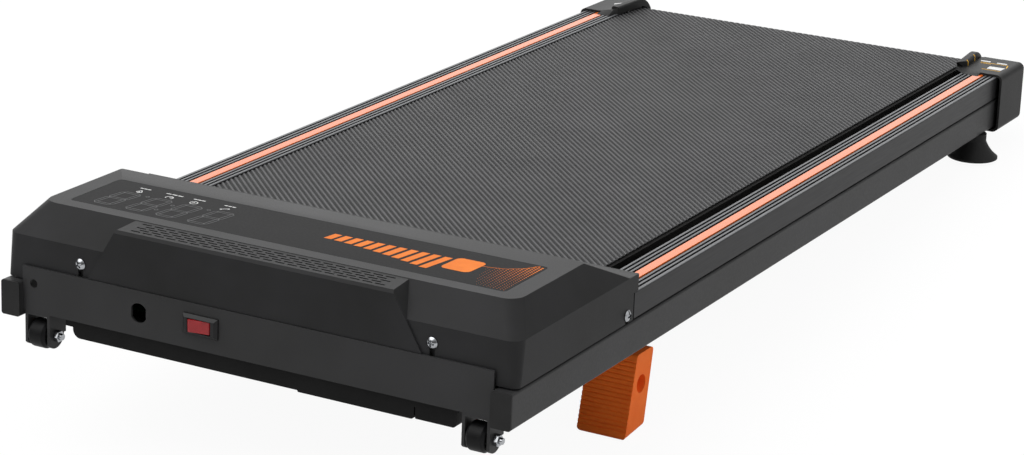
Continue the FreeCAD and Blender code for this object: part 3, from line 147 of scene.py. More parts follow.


# Finishes, each from what the real piece is made of and how, with painted light and shade where marked. Grain
# sizes under a millimetre are coarsened to about one, so that a picture of the whole pad can still carry
# them.
looks = {
    # spark-eroded grain: soft grey sheen on top, near black on the upright faces
    "hood": {"name": "grainedMouldedAbs", "dark": "272727", "light": "2e2e2f", "patchMm": 90,
             "grainMm": 1.1, "bump": 0.12, "rough": (0.38, 0.47), "specular": 0.06},
    # printed on its underside, so the face is smooth and darker than the hood round it
    "film": {"name": "smokedPolycarbonateFilm", "dark": "0a0a0b", "light": "0f0f10", "patchMm": 60,
             "grainMm": 2.5, "bump": 0.03, "rough": (0.4, 0.47), "specular": 0.025},
    # oven-cured coat: slight orange peel under a satin shine
    "coatedSteel": {"name": "powderCoatedSteel", "dark": "2a2a2a", "light": "313132", "patchMm": 120,
                    "grainMm": 1.8, "bump": 0.1, "rough": (0.42, 0.52), "specular": 0.17},
    # drawn lines along the length; ridge tops get a painted highlight, a lighter colour where the light falls
    # on them
    "rail": {"name": "anodisedExtrusion", "dark": "262627", "light": "2b2b2c", "patchMm": 30,
             "grainMm": 1.2, "bump": 0.05, "rough": (0.3, 0.4), "metallic": 0.25, "specular": 0.06,
             "stretch": (1, 0.03, 1),
             "paintedHighlight": {"low": 58.2, "high": 58.9, "dark": "515254", "light": "5c5d5f"}},
    # soft vinyl: glowing orange with a pale veil where it mirrors the room
    "strip": {"name": "extrudedSoftVinyl", "dark": "d2611c", "light": "da6a26", "patchMm": 45,
              "grainMm": 1.5, "bump": 0.03, "rough": (0.14, 0.2), "stretch": (1, 0.1, 1), "specular": 0.21},
    # end caps from a finer mould: a touch quieter than the hood
    "cap": {"name": "fineGrainMouldedAbs", "dark": "292929", "light": "303030", "patchMm": 50,
            "grainMm": 1.1, "bump": 0.1, "rough": (0.38, 0.48), "specular": 0.05},
    # the belt's base between the ribs: painted darker as the shade between the ribs
    "belt": {"name": "calenderedPvcPaintedShade", "dark": "121213", "light": "181819", "patchMm": 70,
             "grainMm": 1.0, "bump": 0.2, "rough": (0.6, 0.72), "specular": 0.18},
    # ribs painted lighter than the base, a painted highlight where light falls on them
    "rib": {"name": "embossedPvcPaintedHighlight", "dark": "3d3d3e", "light": "474748", "patchMm": 70,
            "grainMm": 1.0, "bump": 0.2, "rough": (0.5, 0.62), "specular": 0.18},
    # wax-faced fibreboard: almost black from above
    "deckBoard": {"name": "phenolicFacedBoard", "dark": "0b0a0a", "light": "121110", "patchMm": 20,
                  "grainMm": 1.5, "bump": 0.1, "rough": (0.7, 0.82), "specular": 0.06},
    # almost no shine
    "rubber": {"name": "mouldedRubber", "dark": "101010", "light": "181818", "patchMm": 15,
               "grainMm": 0.9, "bump": 0.25, "rough": (0.62, 0.78), "specular": 0.3},
    # satin, slightly mottled by the mould flow
    "foot": {"name": "mouldedOrangeNylon", "dark": "f47029", "light": "fc7c30", "patchMm": 25,
             "grainMm": 1.0, "bump": 0.12, "rough": (0.42, 0.54), "specular": 0.05},
    # tray under the motor: the hood's ABS painted near black as the shade under the pad, no grain worth
    # seeing
    "pan": {"name": "vacuumFormedAbsPaintedShade", "dark": "0d0d0d", "light": "141414", "patchMm": 40,
            "grainMm": 1.4, "bump": 0.08, "rough": (0.5, 0.62), "specular": 0.12},
    # bright and faintly blue
    "zinc": {"name": "zincPlatedSteel", "dark": "96989b", "light": "aeb0b3", "patchMm": 4,
             "grainMm": 0.6, "bump": 0.05, "rough": (0.14, 0.24), "metallic": 1.0},
    # ground along its girth
    "rollerTube": {"name": "turnedSteel", "dark": "8f9194", "light": "a5a7aa", "patchMm": 10,
                   "grainMm": 0.8, "bump": 0.06, "rough": (0.25, 0.38), "metallic": 1.0,
                   "stretch": (0.2, 1, 1)},
    # polished rings
    "bearing": {"name": "groundBearingSteel", "dark": "9a9b9d", "light": "b4b5b7", "patchMm": 6,
                "grainMm": 0.7, "bump": 0.05, "rough": (0.2, 0.3), "metallic": 1.0},
    # satin black over the can
    "motorCoat": {"name": "sprayedEnamel", "dark": "202124", "light": "2a2b2e", "patchMm": 18,
                  "grainMm": 1.2, "bump": 0.1, "rough": (0.35, 0.5)},
    # rough dark grey
    "castIron": {"name": "sandCastIron", "dark": "4b4a48", "light": "5d5b58", "patchMm": 8,
                 "grainMm": 0.9, "bump": 0.2, "rough": (0.4, 0.55), "metallic": 0.9},
    # pale fins with draw lines
    "sink": {"name": "extrudedBareAluminium", "dark": "9ea1a4", "light": "b6b8ba", "patchMm": 14,
             "grainMm": 0.9, "bump": 0.08, "rough": (0.3, 0.42), "metallic": 1.0, "stretch": (1, 0.1, 1)},
    # green lacquer
    "board": {"name": "maskedFibreglass", "dark": "123d26", "light": "1a5234", "patchMm": 6,
              "grainMm": 0.8, "bump": 0.15, "rough": (0.3, 0.45)},
    # clear-tinted key: deep red with a wet gloss
    "key": {"name": "tintedPolycarbonate", "dark": "80151a", "light": "962024", "patchMm": 8,
            "grainMm": 0.9, "bump": 0.03, "rough": (0.2, 0.28), "specular": 0.3, "coat": 0.1,
            "coatRough": 0.12},
    # smoother black frame round the key
    "bezel": {"name": "mouldedNylon", "dark": "151516", "light": "1c1c1d", "patchMm": 9,
              "grainMm": 0.7, "bump": 0.08, "rough": (0.34, 0.44), "specular": 0.22},
    # satin, a little scuffed
    "wheel": {"name": "castPolyurethane", "dark": "101011", "light": "171718", "patchMm": 7,
              "grainMm": 0.8, "bump": 0.12, "rough": (0.42, 0.56), "specular": 0.12},
    # unlit segment outlines in the film, a dim grey on its black
    "ghost": {"name": "greyScreenInk", "dark": "484849", "light": "505051", "patchMm": 9,
              "grainMm": 1.2, "bump": 0.03, "rough": (0.5, 0.6), "specular": 0.2},
    # pale marks on panel and caps
    "pale": {"name": "whiteScreenInk", "dark": "c9c9c9", "light": "dcdcdc", "patchMm": 5,
             "grainMm": 1.0, "bump": 0.04, "rough": (0.5, 0.6), "specular": 0.2},
    # strong orange motif
    "orangeInk": {"name": "orangeScreenInk", "dark": "d4702a", "light": "de7a30", "patchMm": 16,
                  "grainMm": 1.2, "bump": 0.03, "rough": (0.5, 0.6), "specular": 0.04},
    # safety yellow lines on the right cap
    "yellowInk": {"name": "yellowScreenInk", "dark": "d9a21c", "light": "eab52a", "patchMm": 5,
                  "grainMm": 1.0, "bump": 0.04, "rough": (0.5, 0.6), "specular": 0.2},
}
finish = {key: surface(look) for key, look in looks.items()}
print("finishes made:", len(finish))

# Which finish each CAD node takes
nodeFinish = {
    "hood": ["motor_hood"],
    "pan": ["belly_pan"],
    "film": ["display_panel"],
    "coatedSteel": ["left_frame_tube", "right_frame_tube", "front_plate", "foot_bar", "front_cross_member",
                    "middle_cross_member", "rear_cross_member", "motor_beam", "left_wheel_bracket",
                    "right_wheel_bracket", "left_foot_bracket", "right_foot_bracket", "motor_bracket",
                    "front_roller_brackets"],
    "rail": ["left_side_rail", "right_side_rail"],
    "strip": ["left_rail_strip", "right_rail_strip"],
    "cap": ["left_end_cap", "right_end_cap", "left_tube_plug", "right_tube_plug"],
    "belt": ["walking_belt"],
    "deckBoard": ["running_deck"],
    "rubber": ["left_rear_foot", "right_rear_foot", "deck_cushions", "drive_belt"],
    "foot": ["left_incline_foot", "right_incline_foot"],
    "zinc": ["hood_screws", "wheel_bolts", "wheel_nuts", "foot_pins", "tension_bolts", "rear_shaft_blocks",
             "front_roller_shaft", "rear_roller_shaft"],
    "rollerTube": ["front_roller", "rear_roller"],
    "bearing": ["front_roller_bearings", "rear_roller_bearings"],
    "motorCoat": ["motor_can", "motor_end_bells"],
    "castIron": ["motor_flywheel", "motor_rotor", "motor_pulley", "roller_pulley"],
    "sink": ["controller_heatsink"],
    "board": ["controller_board", "display_board"],
    "key": ["switch_rocker"],
    "bezel": ["switch_bezel"],
    "wheel": ["left_wheel", "right_wheel"],
}
for key, names in nodeFinish.items():
    for name in names:
        data = cadNodes[name].data
        if not data.materials:
            data.materials.append(finish[key])
        for index in range(len(data.materials)):
            data.materials[index] = finish[key]

# Small edge radii a mould or press leaves, in millimetres
softEdges = {
    "motor_hood": 0.7, "front_plate": 0.8, "display_panel": 0.25, "switch_rocker": 0.4, "belly_pan": 0.7,
    "left_tube_plug": 0.7, "right_tube_plug": 0.7, "left_end_cap": 0.9, "right_end_cap": 0.9,
    "left_wheel": 0.6, "right_wheel": 0.6, "left_wheel_bracket": 0.5, "right_wheel_bracket": 0.5,
    "left_incline_foot": 0.3, "right_incline_foot": 0.3, "left_rail_strip": 0.3, "right_rail_strip": 0.3,
    "left_side_rail": 0.25, "right_side_rail": 0.25, "wheel_nuts": 0.4, "wheel_bolts": 0.4,
}
softening = {"weldMm": 0.01, "flatDeg": 0.5, "sharpDeg": 28, "segments": 2}
for name, radius in softEdges.items():
    piece = cadNodes[name]
    join = piece.modifiers.new("join", "WELD")
    join.merge_threshold = softening["weldMm"] / 1000
    flat = piece.modifiers.new("flat", "DECIMATE")
    flat.decimate_type = "DISSOLVE"
    flat.angle_limit = math.radians(softening["flatDeg"])
    soft = piece.modifiers.new("soft", "BEVEL")
    soft.width = radius / 1000
    soft.segments = softening["segments"]
    soft.limit_method = "ANGLE"
    soft.angle_limit = math.radians(softening["sharpDeg"])
    soft.use_clamp_overlap = True
    even = piece.modifiers.new("even", "WEIGHTED_NORMAL")
    even.keep_sharp = False
print("edges softened:", len(softEdges))


def newPiece(name, verts, faces, materials, body="frame"):
    # mesh given in deck millimetres, stood up with the pad
    mesh = bpy.data.meshes.new(name)
    mesh.from_pydata([place(*v) for v in verts], [], faces)
    for material in materials:
        mesh.materials.append(material)
    piece = bpy.data.objects.new(name, mesh)
    bpy.context.scene.collection.objects.link(piece)
    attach(piece, body)
    return piece


# Walking belt: a loop with raised diagonal ribs, embossed at 45 degrees across its outer face
belt = {"left": -218.0, "right": 203.0, "frontY": 165.0, "rearY": 1184.0, "z": 37.2, "radius": 20.9,
        "thick": 1.6, "ribPitch": 5.2, "ribHigh": 0.9, "ribFoot": 3.2, "ribTop": 1.9,
        "bendSteps": 20, "ribSteps": 18, "ribMargin": 4.0}
run = belt["rearY"] - belt["frontY"]
bend = math.pi * belt["radius"]
loopLength = 2 * (run + bend)


def onLoop(s, height):
    # point at travel s along the outer face, raised by height from it
    s = s % loopLength
    r = belt["radius"] + height
    if s < run:
        return belt["frontY"] + s, belt["z"] + r
    if s < run + bend:
        a = math.pi / 2 - (s - run) / belt["radius"]
        return belt["rearY"] + r * math.cos(a), belt["z"] + r * math.sin(a)
    if s < 2 * run + bend:
        return belt["rearY"] - (s - run - bend), belt["z"] - r
    a = -math.pi / 2 - (s - 2 * run - bend) / belt["radius"]
    return belt["frontY"] + r * math.cos(a), belt["z"] + r * math.sin(a)


verts = []
faces = []
bendSteps = belt["bendSteps"]
stops = [0.0, run / 2, run]
stops += [run + bend * k / bendSteps for k in range(1, bendSteps + 1)]
stops += [run + bend + run / 2, 2 * run + bend]
stops += [2 * run + bend + bend * k / bendSteps for k in range(1, bendSteps)]
baseSection = ((belt["left"], -belt["thick"]), (belt["left"], -belt["ribHigh"]),
               (belt["right"], -belt["ribHigh"]), (belt["right"], -belt["thick"]))
for s in stops:
    for x, height in baseSection:
        y, z = onLoop(s, height)
        verts.append((x, y, z))
for i in range(len(stops)):
    j = (i + 1) % len(stops)
    for k in range(4):
        m = (k + 1) % 4
        faces.append((4 * i + k, 4 * i + m, 4 * j + m, 4 * j + k))
baseFaces = len(faces)
diagonal = math.sqrt(2)
ribCount = round(loopLength / (belt["ribPitch"] * diagonal))
ribStep = loopLength / ribCount
beltWide = belt["right"] - belt["left"]
footHalf = belt["ribFoot"] / diagonal
topHalf = belt["ribTop"] / diagonal
ribSection = ((-footHalf, -belt["ribHigh"]), (-topHalf, 0), (topHalf, 0), (footHalf, -belt["ribHigh"]))
margin = belt["ribMargin"]
bends = [(run - margin, run + bend + margin), (2 * run + bend - margin, loopLength + margin)]
for rib in range(ribCount):
    # a rib is straight on the flat runs and gets extra sections where it goes round a roller
    start = rib * ribStep + loopLength
    cuts = {0.0, beltWide}
    for low, high in bends:
        for lap in (-loopLength, 0, loopLength):
            for k in range(belt["ribSteps"] + 1):
                t = start - (low + (high - low) * k / belt["ribSteps"] + lap + loopLength)
                if 0 < t < beltWide:
                    cuts.add(t)
    base = len(verts)
    cuts = sorted(cuts)
    for t in cuts:
        for shift, height in ribSection:
            y, z = onLoop(start - t + shift, height)
            verts.append((belt["left"] + t, y, z))
    for i in range(len(cuts) - 1):
        for k in range(3):
            a = base + 4 * i + k
            faces.append((a, a + 4, a + 5, a + 1))
    end = base + 4 * (len(cuts) - 1)
    faces.append((base, base + 1, base + 2, base + 3))
    faces.append((end + 3, end + 2, end + 1, end))
beltPiece = newPiece("ribbedBelt", verts, faces, [finish["belt"], finish["rib"]])
# ribs take the lighter finish as painted highlight, the base between them the darker one as painted shade
for index in range(baseFaces, len(faces)):
    beltPiece.data.polygons[index].material_index = 1
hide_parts("walking_belt")
print("belt ribs:", ribCount)

# Hood screws: low domes with a cross recess, on shanks through the hood. A seat is a place, the way the
# head faces and how far the cross is turned.
screws = {"radius": 5.3, "rim": 1.0, "dome": 2.4, "domePower": 2.4, "crossHalf": 0.8, "crossReach": 2.9,
          "crossFloor": 1.2, "shankRadius": 2.4, "shank": 8.5, "rings": 18, "spokes": 64,
          "seats": [((-179.0, 9.0, 59.0), (0, -1, 0), 20), ((179.0, 9.0, 59.0), (0, -1, 0), 55),
                    ((260.0, 208.0, 41.5), (1, 0, 0), 35), ((-260.0, 208.0, 41.5), (-1, 0, 0), 10)]}


def headHeight(r, turn):
    # dome over a short rim, cut down inside the cross
    a = abs(r * math.cos(turn))
    b = abs(r * math.sin(turn))
    if min(a, b) < screws["crossHalf"] and max(a, b) < screws["crossReach"]:
        return screws["crossFloor"]
    return screws["rim"] + screws["dome"] * (1 - (r / screws["radius"]) ** screws["domePower"])


verts = []
faces = []
count = screws["spokes"]
levels = [(screws["shankRadius"], -screws["shank"]), (screws["shankRadius"], 0.0), (screws["radius"], 0.0)]
levels += [(screws["radius"] * (1 - k / screws["rings"]), None) for k in range(screws["rings"])]
for seat, outward, turned in screws["seats"]:
    axis = Vector(outward)
    side = axis.orthogonal().normalized()
    third = axis.cross(side)
    base = len(verts)
    for r, h in levels:
        for spoke in range(count):
            angle = 2 * math.pi * spoke / count
            rise = headHeight(r, angle + math.radians(turned)) if h is None else h
            reach = (side * math.cos(angle) + third * math.sin(angle)) * r
            verts.append(tuple(Vector(seat) + axis * rise + reach))
    middle = len(verts)
    verts.append(tuple(Vector(seat) + axis * screws["crossFloor"]))
    for tier in range(len(levels) - 1):
        for spoke in range(count):
            n = (spoke + 1) % count
            a = base + tier * count
            faces.append((a + spoke, a + n, a + count + n, a + count + spoke))
    last = base + (len(levels) - 1) * count
    for spoke in range(count):
        faces.append((last + spoke, last + (spoke + 1) % count, middle))
    faces.append(tuple(base + spoke for spoke in reversed(range(count))))
screwPiece = newPiece("crossHeadScrews", verts, faces, [finish["zinc"]])
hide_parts("hood_screws")
print("screws:", len(screws["seats"]))

# Inks lie on a face as thin raised prints
ink = {"sink": 0.03, "rise": 0.09}


def printed(name, outlines, material, faceZ):
    # outlines in deck x, y become raised prints on a face whose height is a number or a function of x
    verts = []
    faces = []
    for outline in outlines:
        area = sum(a[0] * b[1] - b[0] * a[1] for a, b in zip(outline, outline[1:] + outline[:1]))
        points = outline if area > 0 else outline[::-1]
        base = len(verts)
        n = len(points)
        heights = [faceZ(x) if callable(faceZ) else faceZ for x, y in points]
        verts += [(x, y, z - ink["sink"]) for (x, y), z in zip(points, heights)]
        verts += [(x, y, z + ink["rise"]) for (x, y), z in zip(points, heights)]
        faces.append(tuple(range(base + n, base + 2 * n)))
        for k in range(n):
            m = (k + 1) % n
            faces.append((base + k, base + m, base + n + m, base + n + k))
    return newPiece(name, verts, faces, [material])


def band(points, wide, closed=False):
    # quads of even width along a path
    quads = []
    following = points[1:] + points[:1] if closed else points[1:]
    for (ax, ay), (bx, by) in zip(points, following):
        length = math.hypot(bx - ax, by - ay)
        nx = -(by - ay) / length * wide / 2
        ny = (bx - ax) / length * wide / 2
        quads.append([(ax + nx, ay + ny), (bx + nx, by + ny), (bx - nx, by - ny), (ax - nx, ay - ny)])
    return quads


def arc(cx, cy, r, fromDeg, toDeg, steps):
    angles = [math.radians(fromDeg + (toDeg - fromDeg) * k / steps) for k in range(steps + 1)]
    return [(cx + r * math.cos(a), cy + r * math.sin(a)) for a in angles]


def ring(cx, cy, r, sides):
    # a full turn without its doubled last point
    return arc(cx, cy, r, 0, 360, sides)[:-1]


# Display: four unlit seven-segment digits, read from the belt side
panelTop = 100.0
digits = {"lefts": (-204.4, -170.0, -137.5, -103.75), "front": 58.75, "deep": 42.5, "wide": 21.5, "lean": 6.5,
          "bar": 4.2, "gap": 0.35, "line": 0.8, "dotRadius": 1.6, "dotSides": 14,
          "dots": ((-170.6, 98.75), (-103.75, 97.5), (-137.5, 90.0), (-142.5, 71.9))}


def segmentOutline(ax, ay, bx, by):
    # six-sided bar from a to b with pointed ends
    gap = digits["gap"]
    half = digits["bar"] / 2 - gap
    length = math.hypot(bx - ax, by - ay)
    ux, uy = (bx - ax) / length, (by - ay) / length
    ax, ay = ax + ux * gap, ay + uy * gap
    bx, by = bx - ux * gap, by - uy * gap
    px, py = -uy * half, ux * half
    return [(ax, ay), (ax + ux * half + px, ay + uy * half + py), (bx - ux * half + px, by - uy * half + py),
            (bx, by), (bx - ux * half - px, by - uy * half - py), (ax + ux * half - px, ay + uy * half - py)]


outlines = []
inset = digits["bar"] / 2
across = (inset, digits["wide"] - inset)
along = (inset, digits["deep"] / 2, digits["deep"] - inset)
strokes = [(across[0], v, across[1], v) for v in along]
strokes += [(u, along[k], u, along[k + 1]) for u in across for k in (0, 1)]
for left in digits["lefts"]:
    for u0, v0, u1, v1 in strokes:
        shape = [(left + u + digits["lean"] * v / digits["deep"], digits["front"] + v)
                 for u, v in segmentOutline(u0, v0, u1, v1)]
        outlines += band(shape, digits["line"], True)
for x, y in digits["dots"]:
    outlines += band(ring(x, y, digits["dotRadius"], digits["dotSides"]), digits["line"], True)
printed("ghostDigits", outlines, finish["ghost"], panelTop)

# Four plain signs for the readings, each with a short slanted bar in three parts behind it. A place is a
# kind, its middle and the bar's width.
signs = {"y": 108.0, "radius": 3.6, "line": 0.8, "ringSides": 22, "dotSides": 10, "coreRadius": 1.0,
         "endRadius": 1.2, "gauge": (-40, 220, 18), "barY": 117.5, "barHigh": 1.5, "barParts": 3,
         "barShare": 0.8, "barLean": 0.5,
         "places": (("flame", -185.6, 12.0), ("gauge", -153.5, 19.0), ("clock", -126.9, 13.0),
                    ("path", -94.0, 12.5))}


def drawSign(kind, x, y):
    # strokes and dots, with the points given as shares of the radius
    r = signs["radius"]
    line = signs["line"]
    sides = signs["dotSides"]

    def at(*shares):
        return [(x + r * u, y + r * v) for u, v in shares]

    if kind == "flame":
        core = at((0, -0.35))[0]
        lick = at((-0.8, -0.4), (0, 1), (0.8, -0.4), (0, -1))
        return band(lick, line, True) + [ring(*core, signs["coreRadius"], sides)]
    if kind == "gauge":
        return band(arc(x, y, r, *signs["gauge"]), line) + band(at((0, 0), (0.6, 0.5)), line)
    if kind == "clock":
        hands = at((0, 0.6), (0, 0), (-0.5, 0))
        return band(ring(x, y, r, signs["ringSides"]), line, True) + band(hands, line)
    trail = at((-0.7, -0.5), (0, 0.2), (0.8, 0.6))
    return [ring(*trail[k], signs["endRadius"], sides) for k in (0, -1)] + band(trail, line)


outlines = []
for kind, x, wide in signs["places"]:
    outlines += drawSign(kind, x, signs["y"])
    step = wide / signs["barParts"]
    front = signs["barY"] - signs["barHigh"] / 2
    rear = front + signs["barHigh"]
    for k in range(signs["barParts"]):
        x0 = x - wide / 2 + k * step
        x1 = x0 + step * signs["barShare"]
        lean = signs["barLean"]
        outlines.append([(x0, front), (x1, front), (x1 + lean, rear), (x0 + lean, rear)])
printed("panelSigns", outlines, finish["pale"], panelTop)

# Orange motif: slanted bars that grow toward the right, and a plain rounded tile
motif = {"left": 22.0, "right": 137.0, "bars": 11, "rearY": 104.0, "short": 15.0, "tall": 36.0, "wide": 7.4,
         "lean": 0.16, "growth": 1.5, "tile": (144.5, 172.5, 77.0, 109.0), "tileRound": 5.5, "tileLean": 2.0,
         "roundSteps": 6}
outlines = []
for k in range(motif["bars"]):
    share = k / (motif["bars"] - 1)
    x = motif["left"] + (motif["right"] - motif["left"] - motif["wide"]) * share
    deep = motif["short"] + (motif["tall"] - motif["short"]) * share ** motif["growth"]
    front = motif["rearY"] - deep
    slip = deep * motif["lean"]
    outlines.append([(x, front), (x + motif["wide"], front), (x + motif["wide"] + slip, motif["rearY"]),
                     (x + slip, motif["rearY"])])
x0, x1, y0, y1 = motif["tile"]
r = motif["tileRound"]
tile = []
corners = ((x1 - r, y0 + r, -90), (x1 - r, y1 - r, 0), (x0 + r, y1 - r, 90), (x0 + r, y0 + r, 180))
for cx, cy, first in corners:
    tile += arc(cx, cy, r, first, first + 90, motif["roundSteps"])
outlines.append([(x + motif["tileLean"] * (y - y0) / (y1 - y0), y) for x, y in tile])
printed("orangeMotif", outlines, finish["orangeInk"], panelTop)

# Halftone: dots on a square grid under a curve, largest at its right end, dying away to the left and below
halftone = {"pitch": 3.25, "left": 172.0, "right": 221.0, "front": 54.0, "rear": 128.0,
            "largest": 1.32, "smallest": 0.22, "leftShare": 0.02, "fade": 0.66, "fadeOver": 52.0,
            "dotSides": 6, "corner": (217.0, 58.0), "cornerRound": 4.0, "line": 0.5,
            "curve": [(170.0, 99.0), (182.0, 101.0), (194.0, 104.5), (206.0, 114.0), (215.0, 128.0)]}


def curveY(x):
    # how far back the halftone reaches at x
    points = halftone["curve"]
    for (ax, ay), (bx, by) in zip(points, points[1:]):
        if ax <= x <= bx:
            return ay + (by - ay) * (x - ax) / (bx - ax)
    return points[0][1] if x < points[0][0] else points[-1][1]


def dotSize(x, y):
    # zero above the curve and past the panel's rounded corner
    below = curveY(x) - y
    cornerX, cornerY = halftone["corner"]
    if below < 0 or math.hypot(max(0, x - cornerX), max(0, cornerY - y)) > halftone["cornerRound"]:
        return 0.0
    inward = (x - halftone["left"]) / (halftone["right"] - halftone["left"])
    grown = halftone["leftShare"] + (1 - halftone["leftShare"]) * inward
    return halftone["largest"] * grown * (1 - halftone["fade"] * min(1, below / halftone["fadeOver"]))


outlines = []
pitch = halftone["pitch"]
for i in range(int((halftone["right"] - halftone["left"]) / pitch)):
    for j in range(int((halftone["rear"] - halftone["front"]) / pitch)):
        x = halftone["left"] + (i + 0.5) * pitch
        y = halftone["front"] + (j + 0.5) * pitch
        size = dotSize(x, y)
        if size > halftone["smallest"]:
            outlines.append(ring(x, y, size, halftone["dotSides"]))
outlines += band(halftone["curve"], halftone["line"])
printed("halftoneCorner", outlines, finish["orangeInk"], panelTop)
print("panel prints made, halftone outlines:", len(outlines))

# Plain pale fields on both end caps, and yellow edge lines on the right one
capFace = {"z": 61.5, "crownFrom": 240.0, "crownSlope": 4.3 / 21.3}


def capZ(x):
    # the left cap's plate climbs toward the belt, the right one is level
    return capFace["z"] + capFace["crownSlope"] * max(0.0, capFace["crownFrom"] + x) * (x < 0)


label = {"rightFields": [[(222.0, 1177.5), (233.5, 1178.5), (232.5, 1182.5), (221.5, 1181.5)],
                         [(241.5, 1177.5), (253.5, 1178.0), (252.5, 1182.0), (240.8, 1181.5)],
                         [(240.0, 1149.0), (256.5, 1149.0), (257.5, 1161.5), (239.5, 1160.5)]],
         "leftFields": [[(-243.0, 1170.0), (-235.5, 1176.0), (-233.5, 1173.0), (-241.0, 1167.0)],
                        [(-233.0, 1169.0), (-229.5, 1171.5), (-228.5, 1169.0), (-232.0, 1166.5)]],
         "lines": [[(223.5, 1174.0), (256.0, 1174.5)], [(235.5, 1145.0), (257.5, 1145.0)],
                   [(256.0, 1174.5), (258.3, 1163.0)], [(225.0, 1170.5), (237.0, 1170.5)]],
         "lineWide": 1.1}
printed("capLabelFields", label["rightFields"] + label["leftFields"], finish["pale"], capZ)
outlines = []
for line in label["lines"]:
    outlines += band(line, label["lineWide"])
printed("capLabelLines", outlines, finish["yellowInk"], capZ)

# Two yellow bands over the outer side of the right roller guard
guard = {"root": (208.0, 1135.0), "toeDeg": 3.0, "ribWide": 10.5, "noseZ": 67.5, "climb": 0.0337,
         "round": 3.0, "at": (13.0, 38.0), "bandWide": 1.8, "footZ": 61.6, "bendDeg": 12, "bendStops": 7}
toe = math.radians(guard["toeDeg"])
r = guard["round"]
verts = []
faces = []
for along in guard["at"]:
    top = guard["noseZ"] + guard["climb"] * along
    section = [(guard["ribWide"], guard["footZ"], 0.0)]
    for k in range(guard["bendStops"]):
        a = math.radians(guard["bendDeg"] * k)
        section.append((guard["ribWide"] - r + r * math.cos(a), top - r + r * math.sin(a), a))
    base = len(verts)
    for out, z, a in section:
        for lift in (-ink["sink"], ink["rise"]):
            for side in (-guard["bandWide"] / 2, guard["bandWide"] / 2):
                e = out + lift * math.cos(a)
                verts.append((guard["root"][0] + e * math.cos(toe) - (along + side) * math.sin(toe),
                              guard["root"][1] + e * math.sin(toe) + (along + side) * math.cos(toe),
                              z + lift * math.sin(a)))
    last = base + 4 * (len(section) - 1)
    for a in range(base, last, 4):
        b = a + 4
        faces += [(a + 2, a + 3, b + 3, b + 2), (a, a + 2, b + 2, b)]
        faces += [(a + 3, a + 1, b + 1, b + 3), (a + 1, a, b, b + 1)]
    faces += [(base, base + 1, base + 3, base + 2), (last + 2, last + 3, last + 1, last)]
newPiece("guardBands", verts, faces, [finish["yellowInk"]])
print("cap prints made")

# Camera as in the photo, found from the pad's straight edges
shot = {"azDeg": 28.11, "elDeg": 17.60, "rollDeg": 2.19, "place": (1366.0, -2081.1, 923.9), "lens": 108.41,
        "sensor": 36, "clipEnd": 200}
az, el, roll = (math.radians(shot[key]) for key in ("azDeg", "elDeg", "rollDeg"))
back = Vector((math.sin(az) * math.cos(el), -math.cos(az) * math.cos(el), math.sin(el)))
right = Vector((math.cos(az), math.sin(az), 0))
up = back.cross(right)
camRight = right * math.cos(roll) + up * math.sin(roll)
camUp = up * math.cos(roll) - right * math.sin(roll)
turn = toRoom.to_3x3() @ Matrix((camRight, camUp, back)).transposed()
cameraData = bpy.data.cameras.new("camera")
cameraData.lens = shot["lens"]
cameraData.sensor_width = shot["sensor"]
cameraData.sensor_fit = "HORIZONTAL"
cameraData.clip_end = shot["clipEnd"]
camera = bpy.data.objects.new("camera", cameraData)
camera.matrix_world = Matrix.Translation(place(*shot["place"])) @ turn.to_4x4()
bpy.context.scene.collection.objects.link(camera)
bpy.context.scene.camera = camera

# Pale floor: seen directly or mirrored it is a white sweep that still takes the pad's soft shadow
floorLook = {"bounceDark": "d4d4d4", "bounceLight": "dcdcdc", "sweepDark": "f6f6f6", "sweepLight": "fafafa",
             "glowShare": 0.94, "half": 60, "cloudScale": 3.0, "cloudDetail": 2.0}
floorMesh = bpy.data.meshes.new("floor")
half = floorLook["half"]
floorCorners = [(-half, -half, 0), (half, -half, 0), (half, half, 0), (-half, half, 0)]
floorMesh.from_pydata(floorCorners, [], [(0, 1, 2, 3)])
floor = bpy.data.objects.new("floor", floorMesh)
bpy.context.scene.collection.objects.link(floor)
sweep = bpy.data.materials.new("mattPaperSweep")
sweep.use_nodes = True
tree = sweep.node_tree
tree.nodes.clear()
cloud = addNode(tree, "ShaderNodeTexNoise", {
    "Scale": floorLook["cloudScale"], "Detail": floorLook["cloudDetail"],
})
bounce = addNode(tree, "ShaderNodeBsdfDiffuse", {
    "Color": cloudy(tree, cloud.outputs["Fac"], floorLook["bounceDark"], floorLook["bounceLight"]),
})
paper = addNode(tree, "ShaderNodeBsdfDiffuse", {
    "Color": cloudy(tree, cloud.outputs["Fac"], floorLook["sweepDark"], floorLook["sweepLight"]),
})
glow = addNode(tree, "ShaderNodeEmission", {"Color": (1, 1, 1, 1), "Strength": 1.0})
seen = addNode(tree, "ShaderNodeMixShader", {
    0: floorLook["glowShare"], 1: paper.outputs["BSDF"], 2: glow.outputs["Emission"],
})
path = addNode(tree, "ShaderNodeLightPath")
mirrored = addNode(tree, "ShaderNodeMath", {
    "operation": "MAXIMUM", 0: path.outputs["Is Glossy Ray"], 1: path.outputs["Is Transmission Ray"],
})
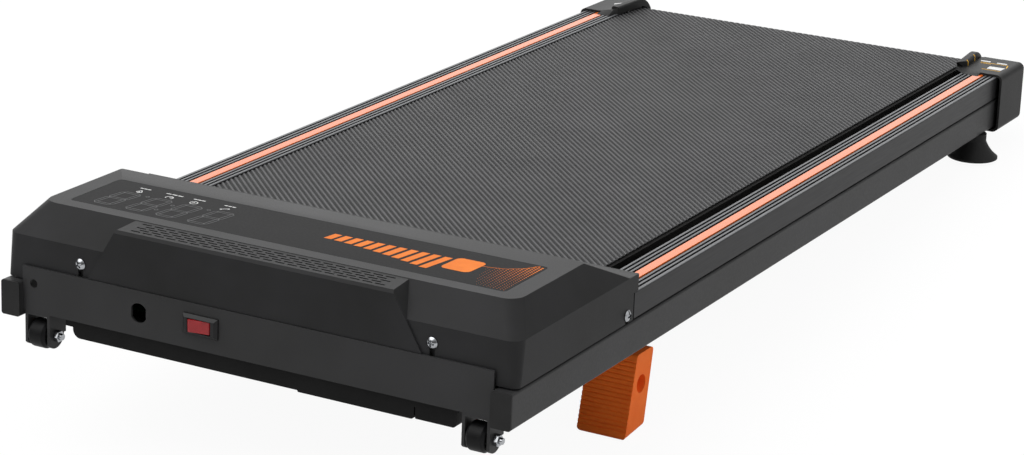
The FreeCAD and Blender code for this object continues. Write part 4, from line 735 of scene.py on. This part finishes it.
looked = addNode(tree, "ShaderNodeMath", {
    "operation": "MAXIMUM", 0: path.outputs["Is Camera Ray"], 1: mirrored.outputs["Value"],
})
both = addNode(tree, "ShaderNodeMixShader", {
    0: looked.outputs["Value"], 1: bounce.outputs["BSDF"], 2: seen.outputs["Shader"],
})
addNode(tree, "ShaderNodeOutputMaterial", {"Surface": both.outputs["Shader"]})
floorMesh.materials.append(sweep)

# Studio: a wide soft light overhead, dark walls, and three lamps given as strength, direction and edge: one
# low behind the left rail, one high over the front left corner, a weak one to the right
studio = {"wall": 0.14, "overhead": 0.85, "overheadFrom": 0.3,
          "lamps": ((1.85, (-0.45, 0.86, 0.22), 0.6), (2.8, (-0.42, -0.36, 0.83), 0.75),
                    (0.85, (0.93, 0.18, 0.32), 0.62))}
world = bpy.data.worlds.new("studio")
bpy.context.scene.world = world
world.use_nodes = True
tree = world.node_tree
tree.nodes.clear()
coords = addNode(tree, "ShaderNodeTexCoord")
split = addNode(tree, "ShaderNodeSeparateXYZ", {"Vector": coords.outputs["Generated"]})
above = addNode(tree, "ShaderNodeMapRange", {
    "interpolation_type": "SMOOTHSTEP", "Value": split.outputs["Z"], "From Min": studio["overheadFrom"],
    "To Min": studio["wall"], "To Max": studio["overhead"],
})
brightness = above.outputs["Result"]
for strength, towards, edge in studio["lamps"]:
    facing = addNode(tree, "ShaderNodeVectorMath", {
        "operation": "DOT_PRODUCT", 0: coords.outputs["Generated"], 1: towards,
    })
    spot = addNode(tree, "ShaderNodeMapRange", {
        "interpolation_type": "SMOOTHSTEP", "Value": facing.outputs["Value"],
        "From Min": edge, "To Max": strength,
    })
    total = addNode(tree, "ShaderNodeMath", {
        "operation": "ADD", 0: brightness, 1: spot.outputs["Result"],
    })
    brightness = total.outputs["Value"]
sky = addNode(tree, "ShaderNodeBackground", {"Color": (1, 1, 1, 1), "Strength": brightness})
addNode(tree, "ShaderNodeOutputWorld", {"Surface": sky.outputs["Background"]})
bpy.context.scene.view_settings.view_transform = "Standard"
print("camera, floor and studio set")
